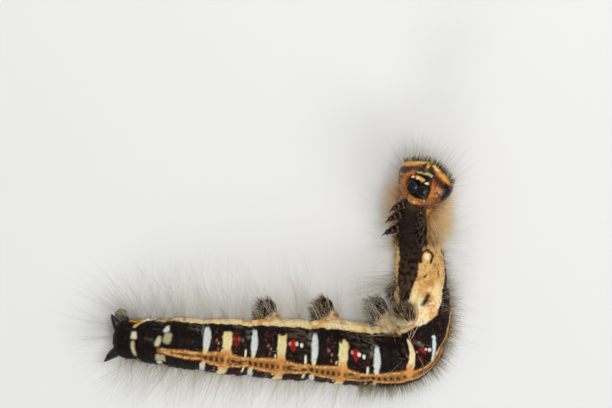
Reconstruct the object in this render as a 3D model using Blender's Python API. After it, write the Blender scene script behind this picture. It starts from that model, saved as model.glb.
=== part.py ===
"""Common duffer larva, life size, still: head, thorax and abdomen lengths, legs, prolegs and coat.

Lengths are in millimetres and turned to metres by MM. The larva's rear lies along +X with its
back up; at the third and fourth abdominal segments it bends to +Y and rolls over, so that its
front lies on its right side and back, with the legs free and the head raised.
"""

import math
import random
from typing import NamedTuple

import bmesh
import bpy
import numpy as np
from mathutils import Matrix, Vector

MM = 0.001
GAP = 0.3
LOFT_SIDES = 20
SEGMENT_RINGS = 7
RING_LAG = 1.0
RING_SPAN = 2.4
SPINE_SAMPLES = 800

# The centre line from the tail to the neck, as (x, y, z).
SPINE = (
    (-19.4, -14.4, 2.5),
    (-12.2, -14.45, 3.35),
    (-7.6, -14.7, 3.6),
    (-1.6, -14.86, 3.85),
    (4.2, -15.0, 4.1),
    (7.9, -15.12, 4.2),
    (10.5, -14.25, 4.1),
    (11.35, -12.1, 3.8),
    (11.45, -9.35, 3.2),
    (11.3, -6.8, 2.5),
    (11.2, -4.5, 2.15),
    (11.05, -2.0, 2.55),
    (11.0, 1.05, 3.7),
    (11.2, 3.85, 5.3),
    (11.5, 5.4, 6.5),
)


class Segment(NamedTuple):
    """One ring of the body: its share of the centre line, radius, tuck of its left side and roll."""

    name: str
    length: float
    radius: float
    tuck: float
    roll: float


SEGMENTS = (
    Segment("anal_segment", 2.3, 1.85, 1.0, -16),
    Segment("abdomen_9", 3.0, 2.2, 1.0, -15),
    Segment("abdomen_8", 3.8, 2.5, 1.0, -14),
    Segment("abdomen_7", 4.8, 2.72, 1.0, -10),
    Segment("abdomen_6", 6.2, 2.97, 1.0, -5),
    Segment("abdomen_5", 6.3, 3.2, 1.0, 3),
    Segment("abdomen_4", 6.2, 3.3, 0.84, 25),
    Segment("abdomen_3", 4.6, 3.05, 0.66, 95),
    Segment("abdomen_2", 4.0, 2.65, 0.9, 140),
    Segment("abdomen_1", 3.5, 2.3, 1.0, 152),
    Segment("metathorax", 2.9, 2.0, 1.0, 156),
    Segment("mesothorax", 2.4, 1.85, 1.0, 157),
    Segment("prothorax", 2.0, 1.75, 1.0, 155),
)
SEGMENT_INDEX = {segment.name: index for index, segment in enumerate(SEGMENTS)}
TAIL_ROUNDING = (0.35, 0.62, 0.84)
TAIL_STEP = 0.11
END_PINCH = 0.08


class Leg(NamedTuple):
    """A proleg: its place on its segment, where its foot is beside and ahead of the ring, its radii."""

    fraction: float
    angle: float
    beside: float
    lean: float
    root_radius: float
    foot_radius: float


PROLEGS = {
    "abdomen_6": (Leg(0.42, 140, 2.6, -0.8, 1.1, 0.85), Leg(0.42, -140, -2.3, -0.3, 1.1, 0.85)),
    "abdomen_5": (Leg(0.4, 140, 2.8, -1.2, 1.15, 0.9), Leg(0.4, -140, -2.4, -0.4, 1.15, 0.9)),
    "abdomen_4": (Leg(0.38, 142, 3.2, -1.4, 1.15, 0.9), Leg(0.38, -142, -1.9, -0.2, 1.15, 0.9)),
    "anal_segment": (Leg(0.5, 142, 1.3, -0.3, 0.75, 0.6), Leg(0.5, -142, -1.3, -0.3, 0.75, 0.6)),
}
BEND_FOOT = Leg(0.5, -138, 2.2, 0.1, 1.1, 0.9)
RAISED_FOOT = Leg(0.5, 138, 1.45, 0.0, 1.1, 0.8)
KNEE_SHARE = 0.45
ANKLE_HEIGHT = 0.45
ANKLE_SWELL = 1.05
ROOT_DEPTH = 0.55

THORAX_LEG_ANGLE = 146
THORAX_LEG_SEGMENTS = {"prothorax": 1.6, "mesothorax": 1.8, "metathorax": 1.9}
THORAX_LEG_RADII = (0.52, 0.48, 0.4, 0.3)
THORAX_LEG_STATIONS = (0, 0.4, 0.65, 0.85)
THORAX_LEG_ROOT = 0.6
THORAX_LEG_BEND = (0.42, -0.36)
THORAX_LEG_HOOK = 1.2

HORN_LENGTH = 1.5
HORN_RADIUS = 0.45
HORN_SINK = 0.8
HORN_SETBACK = 0.75
HORN_LEAN = (0.62, 0.15, -0.77)
HORN_ROOT = (1.0, 0.2)
HORN_WAIST = 0.6

HEAD_CENTRE = Vector((11.75, 7.25, 7.75))
HEAD_FRONT = 1.95
HEAD_BACK = 1.75
HEAD_GROOVE = 0.16
HEAD_GROOVE_WIDTH = 0.16
HEAD_GROOVE_START = 0.2
# The face's outline: its reach by the angle from the width to the up direction.
HEAD_OUTLINE = (
    (-90, 2.25),
    (-60, 2.34),
    (-40, 2.48),
    (-20, 2.62),
    (-4, 2.78),
    (8, 2.96),
    (20, 3.04),
    (32, 2.86),
    (45, 2.55),
    (60, 2.33),
    (75, 2.34),
    (90, 2.42),
)
VIEW_ELEVATION = math.radians(57.5)
FACE_TURN = math.radians(20)
FACE_ROLL = math.radians(26)


class Lump(NamedTuple):
    """A mouthpart as a ball: its place and radii by the head's width, up and front axes."""

    name: str
    centre: tuple
    radii: tuple


MOUTH = (
    Lump("labrum", (0, 0.68, 1.72), (0.6, 0.3, 0.4)),
    Lump("mandible_left", (0.72, -0.52, 1.6), (0.56, 0.62, 0.7)),
    Lump("mandible_right", (-0.72, -0.52, 1.6), (0.56, 0.62, 0.7)),
    Lump("labium", (0, -1.74, 1.2), (0.95, 0.36, 0.62)),
)
FEELER_ROOT = (1.2, 0.5, 1.2)
FEELER_TIP = (1.05, 0.42, 2.5)
FEELER_RADIUS = 0.26
FEELER_TAPER = ((0, 1), (0.4, 1), (0.75, 0.8), (1, 0.4))
STEMMATA_CENTRE = (2.02, -0.55)
STEMMATA_SPREAD = 0.42
STEMMATA_ARC = 0.23
STEMMATA_TURNS = (-130, -75, -20, 35, 90, 145)
STEMMA_RADIUS = 0.25

COAT_SEED = 11
LOCK_SINK = 0.75
LOCK_THICKNESS = 0.54
LOCK_STATIONS = (0.0, 0.3, 0.58, 0.82)
LOCK_TAPER = 1.6
LOCK_THINNING = 0.55
LOCK_TRIES = 14
LOCK_SHORTENING = 0.9
LOCK_NARROWING = 0.96
SWEEP_EASING = 0.75
STAGGER = 0.25
SWEEP_SPREAD = (0.5, 1.2)
FLOOR_CLEARANCE = 0.72
WEDGE_MARGIN = 0.2
LENGTH_SPREAD = 0.12
ANGLE_SPREAD = 5


class Row(NamedTuple):
    """A row of locks along a segment: its angle from the back, their length and sweep to the tail."""

    angle: float
    length: float
    sweep: float = 0.8


class Coat(NamedTuple):
    """A segment's coat: its rows, the locks in each row and their half width at the root."""

    rows: tuple
    count: int
    half_width: float


REAR_ROWS = (
    Row(106, 6.6, 1.4),
    Row(72, 5.2, 1.3),
    Row(38, 4.0),
    Row(0, 3.3),
    Row(-38, 4.0),
    Row(-72, 5.2, 1.3),
    Row(-106, 6.6, 1.4),
)
TAIL_ROWS = tuple(Row(angle, 4.6, 4.6) for angle in (98, 66, 33, 0, -33, -66, -98))
BEND_ROWS = (Row(104, 6.0, 1.6), Row(72, 4.8), Row(38, 3.6), Row(4, 2.8), Row(-30, 2.4), Row(-64, 2.2))
TURNED_ROWS = tuple(Row(*row, 0.0) for row in ((92, 3.6), (60, 2.4), (32, 2.2), (6, 2.0)))
WAIST_ROWS = tuple(Row(*row, 0.0) for row in ((130, 3.6), (99, 4.2), (69, 3.8), (-130, 3.3)))
HIND_ROWS = tuple(Row(*row, 0.0) for row in ((122, 3.0), (96, 4.4), (70, 4.4), (44, 3.4), (-104, 3.2)))
MIDDLE_ROWS = tuple(Row(*row, 0.0) for row in ((116, 2.8), (88, 4.4), (60, 4.2), (30, 3.0), (-84, 3.0)))
FRONT_ROWS = tuple(Row(*row, 0.2) for row in ((108, 2.6), (76, 4.2), (44, 3.6), (12, 2.4), (-70, 2.8)))
COAT = {
    "anal_segment": Coat(TAIL_ROWS, 1, 0.5),
    "abdomen_9": Coat(REAR_ROWS, 2, 0.55),
    "abdomen_8": Coat(REAR_ROWS, 2, 0.62),
    "abdomen_7": Coat(REAR_ROWS, 2, 0.72),
    "abdomen_6": Coat(REAR_ROWS, 3, 0.72),
    "abdomen_5": Coat(REAR_ROWS, 3, 0.72),
    "abdomen_4": Coat(BEND_ROWS, 3, 0.7),
    "abdomen_3": Coat(TURNED_ROWS, 2, 0.7),
    "abdomen_2": Coat(WAIST_ROWS, 2, 0.62),
    "abdomen_1": Coat(WAIST_ROWS, 2, 0.6),
    "metathorax": Coat(HIND_ROWS, 2, 0.55),
    "mesothorax": Coat(MIDDLE_ROWS, 2, 0.5),
    "prothorax": Coat(FRONT_ROWS, 2, 0.5),
}
HEAD_LOCKS = ((-1.15, 0.6), (-0.72, 0.85), (-0.3, 0.97), (0.3, 0.97), (0.72, 0.85), (1.15, 0.6))
HEAD_LOCK_LENGTHS = (4.2, 4.9, 5.4, 5.6, 5.4, 4.8)
HEAD_LOCK_HALF_WIDTH = 0.44
HEAD_LOCK_ROOT = (1.2, 1.5, -0.44)
HEAD_LOCK_LEAN = 0.3

SKIN_BLACK = (0.018, 0.009, 0.006, 1)
SKIN_CREAM = (0.78, 0.58, 0.33, 1)
HEAD_AMBER = (0.42, 0.13, 0.03, 1)
JAW_BLACK = (0.006, 0.004, 0.003, 1)
LABRUM_GOLD = (0.65, 0.35, 0.08, 1)
EYE_BLACK = (0.004, 0.004, 0.004, 1)
FEELER_CREAM = (0.8, 0.68, 0.5, 1)
LEG_BROWN = (0.035, 0.015, 0.008, 1)


def natural_cubic(knots, values, at):
    """The natural cubic through values at knots, read at the places in at."""
    gaps = np.diff(knots)
    count = len(knots)
    system = np.eye(count)
    right = np.zeros_like(values)
    for i in range(1, count - 1):
        system[i, i - 1 : i + 2] = (gaps[i - 1], 2 * (gaps[i - 1] + gaps[i]), gaps[i])
        rise_after = (values[i + 1] - values[i]) / gaps[i]
        rise_before = (values[i] - values[i - 1]) / gaps[i - 1]
        right[i] = 6 * (rise_after - rise_before)
    bends = np.linalg.solve(system, right)
    cell = np.clip(np.searchsorted(knots, at) - 1, 0, count - 2)
    gap = gaps[cell][:, None]
    ahead = (at - knots[cell])[:, None]
    behind = gap - ahead
    curve = (bends[cell] * behind**3 + bends[cell + 1] * ahead**3) / (6 * gap)
    start = (values[cell] / gap - bends[cell] * gap / 6) * behind
    end = (values[cell + 1] / gap - bends[cell + 1] * gap / 6) * ahead
    return curve + start + end


class Spine:
    """The centre line by length from the tail, with the ring frame at each place on it."""

    def __init__(self):
        """Samples the curve through SPINE and shares its length among the segments."""
        points = np.array(SPINE)
        knots = np.concatenate([[0], np.cumsum(np.linalg.norm(np.diff(points, axis=0), axis=1))])
        self.points = natural_cubic(knots, points, np.linspace(0, knots[-1], SPINE_SAMPLES))
        steps = np.linalg.norm(np.diff(self.points, axis=0), axis=1)
        self.lengths = np.concatenate([[0], np.cumsum(steps)])
        shares = np.array([segment.length for segment in SEGMENTS])
        shares = shares * self.lengths[-1] / shares.sum()
        self.edges = np.concatenate([[0], np.cumsum(shares)])
        self.middles = (self.edges[1:] + self.edges[:-1]) / 2

    def at(self, place):
        """The centre line's point at this length from the tail."""
        return Vector([np.interp(place, self.lengths, self.points[:, axis]) for axis in range(3)])

    def heading(self, place):
        """The ring's direction there, averaged along the bend and a little behind the centre line's."""
        middle = np.clip(place - RING_LAG, RING_SPAN, self.lengths[-1] - RING_SPAN)
        return (self.at(middle + RING_SPAN) - self.at(middle - RING_SPAN)).normalized()

    def by_segment(self, place, values):
        """A value given at each segment's middle, read between them."""
        return float(np.interp(place, self.middles, values))

    def frame(self, place):
        """The ring's centre, heading, back and left directions."""
        ahead = self.heading(place)
        right = ahead.cross(Vector((0, 0, 1))).normalized()
        above = right.cross(ahead)
        roll = math.radians(self.by_segment(place, [segment.roll for segment in SEGMENTS]))
        back = above * math.cos(roll) + right * math.sin(roll)
        return self.at(place), ahead, back, back.cross(ahead)

    def radius(self, place):
        """The body's radius there."""
        return self.by_segment(place, [segment.radius for segment in SEGMENTS])

    def ring_point(self, place, angle, distance):
        """A point at this distance from the centre line, by its angle from the back to the left."""
        centre, ahead, back, left = self.frame(place)
        offset = (back * math.cos(angle) + left * math.sin(angle)) * distance
        right = ahead.cross(Vector((0, 0, 1))).normalized()
        tuck = self.by_segment(place, [segment.tuck for segment in SEGMENTS])
        return centre + offset + right * min(offset.dot(right), 0.0) * (tuck - 1)

    def ring(self, place, distance):
        """LOFT_SIDES points around the body, none of them under the floor."""
        turn = 2 * math.pi / LOFT_SIDES
        points = [self.ring_point(place, turn * k, distance) for k in range(LOFT_SIDES)]
        return [Vector((p.x, p.y, max(p.z, 0.0))) for p in points]


SPINE_CURVE = Spine()


def material(name, colour, roughness):
    """A Principled material of one colour."""
    made = bpy.data.materials.get(name) or bpy.data.materials.new(name)
    made.use_nodes = True
    shader = made.node_tree.nodes["Principled BSDF"]
    shader.inputs["Base Color"].default_value = colour
    shader.inputs["Roughness"].default_value = roughness
    made.diffuse_color = colour
    return made


def mesh_object(name, mesh, anchor, collection, finish=None):
    """An object for a mesh whose points are about the anchor, in millimetres."""
    mesh.transform(Matrix.Scale(MM, 4))
    made = bpy.data.objects.new(name, mesh)
    made.location = Vector(anchor) * MM
    if finish:
        mesh.materials.append(finish)
    collection.objects.link(made)
    return made


def from_bmesh(name, shape, anchor, collection, finish=None):
    """An object for a bmesh whose points are in place, with its normals pointing out."""
    bmesh.ops.recalc_face_normals(shape, faces=shape.faces)
    bmesh.ops.translate(shape, verts=shape.verts, vec=-Vector(anchor))
    mesh = bpy.data.meshes.new(name)
    shape.to_mesh(mesh)
    shape.free()
    return mesh_object(name, mesh, anchor, collection, finish)


def loft(name, rings, anchor, collection, finish=None, tip=None):
    """A closed skin over rings of equal count, capped flat, or drawn to a tip at its end."""
    shape = bmesh.new()
    rows = [[shape.verts.new(point) for point in ring] for ring in rings]
    count = len(rows[0])
    for low, high in zip(rows, rows[1:]):
        for k in range(count):
            after = (k + 1) % count
            shape.faces.new((low[k], low[after], high[after], high[k]))
    shape.faces.new(rows[0])
    if tip is None:
        shape.faces.new(rows[-1])
    else:
        end = shape.verts.new(tip)
        for k in range(count):
            shape.faces.new((rows[-1][k], rows[-1][(k + 1) % count], end))
    bmesh.ops.triangulate(shape, faces=list(shape.faces), quad_method="FIXED")
    return from_bmesh(name, shape, anchor, collection, finish)


def ellipsoid(name, centre, axes, radii, collection, finish=None, around=12, along=8):
    """A ball with these radii along the three axes."""
    shape = bmesh.new()
    bmesh.ops.create_uvsphere(shape, u_segments=around, v_segments=along, radius=1)
    turn = Matrix((axes[0], axes[1], axes[2])).transposed()
    for vert in shape.verts:
        scaled = Vector([vert.co[k] * radii[k] for k in range(3)])
        vert.co = Vector(centre) + turn @ scaled
    return from_bmesh(name, shape, centre, collection, finish)


def keep_largest(mesh):
    """Leaves only the closed surface that reaches furthest across."""
    shape = bmesh.new()
    shape.from_mesh(mesh)
    left_over = set(shape.verts)
    islands = []
    while left_over:
        seed = left_over.pop()
        island = {seed}
        front = [seed]
        while front:
            vert = front.pop()
            for edge in vert.link_edges:
                other = edge.other_vert(vert)
                if other in left_over:
                    left_over.discard(other)
                    island.add(other)
                    front.append(other)
        islands.append(island)
    largest = max(islands, key=len)
    scraps = [vert for vert in shape.verts if vert not in largest]
    bmesh.ops.delete(shape, geom=scraps, context="VERTS")
    shape.to_mesh(mesh)
    shape.free()


def combine(target, others, operation):
    """Joins others to the target or cuts them from it, applies that and removes them."""
    holder = bpy.data.collections.new(target.name + "_" + operation.lower())
    bpy.context.scene.collection.children.link(holder)
    for other in others:
        for user in list(other.users_collection):
            user.objects.unlink(other)
        holder.objects.link(other)
    modifier = target.modifiers.new(operation.title(), "BOOLEAN")
    modifier.operation = operation
    modifier.operand_type = "COLLECTION"
    modifier.collection = holder
    modifier.solver = "MANIFOLD"
    bpy.context.view_layer.update()
    evaluated = target.evaluated_get(bpy.context.evaluated_depsgraph_get())
    mesh = bpy.data.meshes.new_from_object(evaluated)
    target.modifiers.clear()
    old = target.data
    target.data = mesh
    mesh.name = target.name
    bpy.data.meshes.remove(old)
    keep_largest(mesh)
    for other in list(holder.objects):
        bpy.data.objects.remove(other)
    bpy.data.collections.remove(holder)


def segment_loft(index, collection, finish=None, grow=0.0):
    """One segment as a loft between its two flat ends; grow makes a larger copy to cut with."""
    start = SPINE_CURVE.edges[index] + GAP / 2 - grow
    end = SPINE_CURVE.edges[index + 1] - GAP / 2 + grow
    rings = []
    for ring in range(SEGMENT_RINGS):
        fraction = ring / (SEGMENT_RINGS - 1)
        place = start + (end - start) * fraction
        pinch = 1 - END_PINCH * abs(2 * fraction - 1) ** 3
        rings.append(SPINE_CURVE.ring(place, SPINE_CURVE.radius(place) * pinch + grow))
    if index == 0:
        for step, share in enumerate(TAIL_ROUNDING):
            rings[step] = SPINE_CURVE.ring(
                start + (end - start) * step * TAIL_STEP, SPINE_CURVE.radius(start) * share + grow
            )
    name = SEGMENTS[index].name
    anchor = SPINE_CURVE.at(SPINE_CURVE.middles[index])
    return loft(name, rings, anchor, collection, finish)


def tube_rings(points, radii, sides=10, floor_sole=False):
    """Round rings square to a path; the last lies flat on the floor for a sole."""
    rings = []
    for index, (point, radius) in enumerate(zip(points, radii)):
        before = points[max(index - 1, 0)]
        after = points[min(index + 1, len(points) - 1)]
        ahead = (after - before).normalized()
        if floor_sole and index == len(points) - 1:
            ahead = Vector((0, 0, -1))
        across = ahead.orthogonal().normalized() if abs(ahead.x) > 0.9 else ahead.cross((1, 0, 0))
        across.normalize()
        beside = ahead.cross(across)
        turns = [2 * math.pi * k / sides for k in range(sides)]
        ring = [point + (across * math.cos(turn) + beside * math.sin(turn)) * radius for turn in turns]
        rings.append([Vector((p.x, p.y, max(p.z, 0.0))) for p in ring])
    return rings


def add_bodies(larva, skin):
    """The thirteen segments, each with its coat fused to it."""
    made = {}
    draw = random.Random(COAT_SEED)
    for index, segment in enumerate(SEGMENTS):
        flesh = segment_loft(index, larva, skin)
        combine(flesh, coat_for(index, draw, larva), "UNION")
        made[segment.name] = flesh
    return made


def coat_for(index, draw, collection):
    """The locks of one segment, in rows along it, varied in length, angle and sweep."""
    coat = COAT[SEGMENTS[index].name]
    start = SPINE_CURVE.edges[index] + WEDGE_MARGIN + coat.half_width
    end = SPINE_CURVE.edges[index + 1] - WEDGE_MARGIN - coat.half_width
    locks = []
    for number, row in enumerate(coat.rows):
        for k in range(coat.count):
            stagger = STAGGER if number % 2 else -STAGGER
            share = (k + 0.5 + stagger) / coat.count if coat.count > 1 else 0.5
            place = start + (end - start) * share
            angle = row.angle + draw.uniform(-ANGLE_SPREAD, ANGLE_SPREAD)
            length = row.length * (1 + draw.uniform(-LENGTH_SPREAD, LENGTH_SPREAD))
            sweep = row.sweep * draw.uniform(*SWEEP_SPREAD)
            locks.append(fitted_lock(index, place, math.radians(angle), length, sweep, coat, collection))
    return locks


def fitted_lock(index, place, angle, length, sweep, coat, collection):
    """A lock made shorter and narrower until it stays between its segment's two end planes."""
    centre, ahead, _, _ = SPINE_CURVE.frame(place)
    root = SPINE_CURVE.ring_point(place, angle, SPINE_CURVE.radius(place) - LOCK_SINK)
    out = (root - centre).normalized()
    half_width = coat.half_width
    for _ in range(LOCK_TRIES):
        rings, tip = lock_rings(root, out, ahead, length + LOCK_SINK, -sweep, half_width)
        if between_ends(index, [point for ring in rings for point in ring] + [tip]):
            break
        length *= LOCK_SHORTENING
        half_width *= LOCK_NARROWING
        sweep *= SWEEP_EASING
    return loft("lock", rings, root, collection, tip=tip)


def between_ends(index, points):
    """Whether all the points lie between the segment's end planes, clear of its neighbours."""
    low, low_ahead, _, _ = SPINE_CURVE.frame(SPINE_CURVE.edges[index])
    high, high_ahead, _, _ = SPINE_CURVE.frame(SPINE_CURVE.edges[index + 1])
    first = index == 0
    last = index == len(SEGMENTS) - 1
    return all(
        (first or (point - low).dot(low_ahead) > WEDGE_MARGIN)
        and (last or (high - point).dot(high_ahead) > WEDGE_MARGIN)
        for point in points
    )


def lock_rings(root, out, ahead, length, sweep, half_width):
    """A flat tapered lock's four-sided rings along a path that bends, and its tip."""
    flat = out.cross(ahead).normalized()

    def along(share):
        point = root + out * length * share + ahead * sweep * share**2
        return Vector((point.x, point.y, max(point.z, FLOOR_CLEARANCE)))

    rings = []
    for share in LOCK_STATIONS:
        wide = ahead * half_width * (1 - share**LOCK_TAPER)
        thick = flat * LOCK_THICKNESS / 2 * (1 - LOCK_THINNING * share)
        point = along(share)
        corners = (wide + thick, thick - wide, -wide - thick, wide - thick)
        rings.append([point + corner for corner in corners])
    return rings, along(1.0)


def head_axes():
    """The head's width, up and front directions: the face looks up and a little to one side."""
    view = Vector((0, math.cos(VIEW_ELEVATION), math.sin(VIEW_ELEVATION)))
    above = Vector((0, math.sin(VIEW_ELEVATION), -math.cos(VIEW_ELEVATION)))
    side = Vector((1, 0, 0))
    front = view * math.cos(FACE_TURN) - side * math.sin(FACE_TURN)
    up = above * math.cos(FACE_ROLL) + side * math.sin(FACE_ROLL)
    up = (up - front * up.dot(front)).normalized()
    return up.cross(front), up, front


def in_head(place):
    """The point at this place along the head's width, up and front axes."""
    axes = head_axes()
    return HEAD_CENTRE + sum((axes[k] * place[k] for k in range(3)), Vector((0, 0, 0)))


def head_reach(wide, up):
    """The face outline's reach in the direction of this place."""
    angle = math.degrees(math.atan2(up, abs(wide)))
    return float(np.interp(angle, *zip(*HEAD_OUTLINE, strict=True)))


def face_front(wide, up):
    """How far forward the plain face lies at this place."""
    share = 1 - (wide**2 + up**2) / head_reach(wide, up) ** 2
    return HEAD_FRONT * math.sqrt(max(share, 0.0))


def head_capsule(name, collection, finish=None, grow=0.0):
    """Two rounded cheeks with a groove between them, broad shoulders and a low roof."""
    shape = bmesh.new()
    bmesh.ops.create_uvsphere(shape, u_segments=22, v_segments=13, radius=1)
    for vert in shape.verts:
        wide, up, front = vert.co
        reach = head_reach(wide, up) + grow
        radius_front = (HEAD_FRONT if front > 0 else HEAD_BACK) + grow
        groove = HEAD_GROOVE * math.exp(-((wide / HEAD_GROOVE_WIDTH) ** 2)) * max(up - HEAD_GROOVE_START, 0)
        place = (wide * reach, up * (reach - groove), front * (radius_front - groove))
        vert.co = in_head(place)
    return from_bmesh(name, shape, HEAD_CENTRE, collection, finish)


def add_head(larva):
    """The head capsule, cut clear of the mouthparts, feelers and eyes that sit in it."""
    amber = material("amber_head_capsule", HEAD_AMBER, 0.35)
    jaw = material("black_jaw", JAW_BLACK, 0.2)
    gold = material("golden_lip", LABRUM_GOLD, 0.35)
    finishes = {"labrum": gold, "labium": amber}
    head = head_capsule("head", larva, amber)
    axes = head_axes()
    cutters = []
    for lump in MOUTH:
        finish = finishes.get(lump.name, jaw)
        ellipsoid(lump.name, in_head(lump.centre), axes, lump.radii, larva, finish)
        larger = [radius + GAP for radius in lump.radii]
        cutters.append(ellipsoid("cutter", in_head(lump.centre), axes, larger, larva))
    for side, sign in (("left", 1), ("right", -1)):
        cutters.append(add_feeler(side, sign, larva))
        cutters += add_stemmata(side, sign, larva)
    for cutter in cutters:
        combine(head, [cutter], "DIFFERENCE")
    combine(head, head_locks(larva), "UNION")
    return head


def head_locks(larva):
    """Short locks round the back of the crown, standing up behind the face."""
    axes = head_axes()
    locks = []
    for (wide, up), length in zip(HEAD_LOCKS, HEAD_LOCK_LENGTHS, strict=True):
        out = (axes[0] * wide + axes[1] * up - axes[2] * HEAD_LOCK_LEAN).normalized()
        root = in_head((wide * HEAD_LOCK_ROOT[0], up * HEAD_LOCK_ROOT[1], HEAD_LOCK_ROOT[2]))
        beside = out.cross(axes[2]).normalized()
        rings, tip = lock_rings(root, out, beside, length, 0.0, HEAD_LOCK_HALF_WIDTH)
        locks.append(loft("lock", rings, root, larva, tip=tip))
    return locks


def add_feeler(side, sign, larva):
    """A short feeler beside the lip, a tapered curve; gives the cutter for its socket."""
    root = in_head((sign * FEELER_ROOT[0], FEELER_ROOT[1], FEELER_ROOT[2]))
    tip = in_head((sign * FEELER_TIP[0], FEELER_TIP[1], FEELER_TIP[2]))
    points = [root.lerp(tip, share) for share, _ in FEELER_TAPER]
    radii = [FEELER_RADIUS * factor for _, factor in FEELER_TAPER]
    cream = material("cream_feeler", FEELER_CREAM, 0.4)
    loft(f"antenna_{side}", tube_rings(points, radii, 8), root, larva, cream)
    below = root + (root - tip).normalized() * GAP
    wide = [FEELER_RADIUS + GAP] * 2
    return loft("cutter", tube_rings([below, tip], wide, 8), root, larva)


def add_stemmata(side, sign, larva):
    """Six small simple eyes on an arc of the cheek, fused; gives the cutter for their pit."""
    axes = head_axes()
    beads = []
    for turn in STEMMATA_TURNS:
        wide = STEMMATA_CENTRE[0] + STEMMATA_ARC * math.cos(math.radians(turn))
        up = STEMMATA_CENTRE[1] + STEMMATA_SPREAD * math.sin(math.radians(turn))
        place = in_head((sign * wide, up, face_front(wide, up)))
        radii = [STEMMA_RADIUS] * 3
        beads.append(ellipsoid("bead", place, axes, radii, larva, None, 6, 4))
    eye = beads[0]
    eye.name = f"eye_{side}"
    eye.data.materials.append(material("black_eye", EYE_BLACK, 0.1))
    combine(eye, beads[1:], "UNION")
    wide, up = STEMMATA_CENTRE
    reach = STEMMATA_SPREAD + STEMMA_RADIUS + GAP
    return [ellipsoid("cutter", in_head((sign * wide, up, face_front(wide, up))), axes, [reach] * 3, larva)]


def segment_cutters(index, larva):
    """Larger copies of a segment and its neighbours, to cut a leg's root clear of them."""
    near = range(max(index - 1, 0), min(index + 2, len(SEGMENTS)))
    return [segment_loft(other, larva, grow=GAP) for other in near]


def cut_clear(leg, index, larva):
    """Cuts a leg clear of the segments about it, one cut after another."""
    for cutter in segment_cutters(index, larva):
        combine(leg, [cutter], "DIFFERENCE")


def add_prolegs(larva):
    """The stout belly legs: on the rear they stand on the floor, in the bend one is raised."""
    flesh = material("cream_proleg", SKIN_CREAM, 0.55)
    legs = [(name, pair[0], pair[1], False) for name, pair in PROLEGS.items()]
    legs.append(("abdomen_3", RAISED_FOOT, BEND_FOOT, True))
    for name, left, right, raised in legs:
        index = SEGMENT_INDEX[name]
        for side, leg in (("left", left), ("right", right)):
            short = name.replace("abdomen_", "a").replace("_segment", "")
            free = raised and side == "left"
            made = proleg(f"proleg_{short}_{side}", index, leg, free, larva, flesh)
            cut_clear(made, index, larva)


def proleg(name, index, leg, free, larva, flesh):
    """A proleg as a tapered tube from inside its segment to its flat sole or free end."""
    place = SPINE_CURVE.edges[index]
    place += leg.fraction * (SPINE_CURVE.edges[index + 1] - place)
    radius = SPINE_CURVE.radius(place)
    angle = math.radians(leg.angle)
    centre, ahead, _, _ = SPINE_CURVE.frame(place)
    root = SPINE_CURVE.ring_point(place, angle, radius * ROOT_DEPTH)
    if free:
        foot = SPINE_CURVE.ring_point(place, angle, radius * leg.beside)
        points = [root.lerp(foot, share) for share in (0, 0.5, 0.85, 1.0)]
        radii = [leg.root_radius, leg.root_radius, leg.foot_radius, leg.foot_radius * 0.6]
        return loft(name, tube_rings(points, radii), foot, larva, flesh)
    beside = Vector((0, 0, 1)).cross(ahead).normalized()
    level = Vector((ahead.x, ahead.y, 0)).normalized()
    foot = centre + beside * leg.beside + level * leg.lean
    foot.z = 0
    ankle = Vector((foot.x, foot.y, ANKLE_HEIGHT))
    knee = root.lerp(ankle, KNEE_SHARE)
    points = [root, knee, ankle, foot]
    radii = [leg.root_radius, leg.root_radius, leg.foot_radius * ANKLE_SWELL, leg.foot_radius]
    return loft(name, tube_rings(points, radii, floor_sole=True), foot, larva, flesh)


def add_thorax_legs(larva):
    """Three pairs of short hooked legs, free of the floor."""
    brown = material("dark_brown_leg", LEG_BROWN, 0.3)
    for name, length in THORAX_LEG_SEGMENTS.items():
        index = SEGMENT_INDEX[name]
        place = SPINE_CURVE.middles[index]
        radius = SPINE_CURVE.radius(place)
        centre, ahead, back, _ = SPINE_CURVE.frame(place)
        for side, sign in (("left", 1), ("right", -1)):
            angle = math.radians(sign * THORAX_LEG_ANGLE)
            root = SPINE_CURVE.ring_point(place, angle, radius * THORAX_LEG_ROOT)
            out = (root - centre).normalized()
            bend = (ahead * THORAX_LEG_BEND[0] + back * THORAX_LEG_BEND[1]) * length
            reach = radius * (1 - THORAX_LEG_ROOT) + length
            points = [root + out * reach * share + bend * share**2 for share in THORAX_LEG_STATIONS]
            tip = root + out * reach + bend * THORAX_LEG_HOOK
            rings = tube_rings(points, THORAX_LEG_RADII, 8)
            leg = loft(f"leg_{name}_{side}", rings, root, larva, brown, tip)
            cut_clear(leg, index, larva)


def add_horns(larva):
    """Two short points at the tail, set back and outwards."""
    dark = material("black_horn", JAW_BLACK, 0.35)
    centre, ahead, back, left = SPINE_CURVE.frame(SPINE_CURVE.edges[0] + HORN_SETBACK)
    for side, sign in (("left", 1), ("right", -1)):
        out = left * sign * HORN_LEAN[0] + back * HORN_LEAN[1] + ahead * HORN_LEAN[2]
        out.normalize()
        root = centre + left * sign * HORN_ROOT[0] + back * HORN_ROOT[1]
        points = [root, root + out * HORN_SINK, root + out * (HORN_SINK + HORN_LENGTH * HORN_WAIST)]
        radii = (HORN_RADIUS, HORN_RADIUS, HORN_RADIUS * HORN_WAIST)
        tip = root + out * (HORN_SINK + HORN_LENGTH)
        horn = loft(f"tail_horn_{side}", tube_rings(points, radii, 8), root, larva, dark, tip)
        combine(horn, [segment_loft(0, larva, grow=GAP)], "DIFFERENCE")


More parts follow.
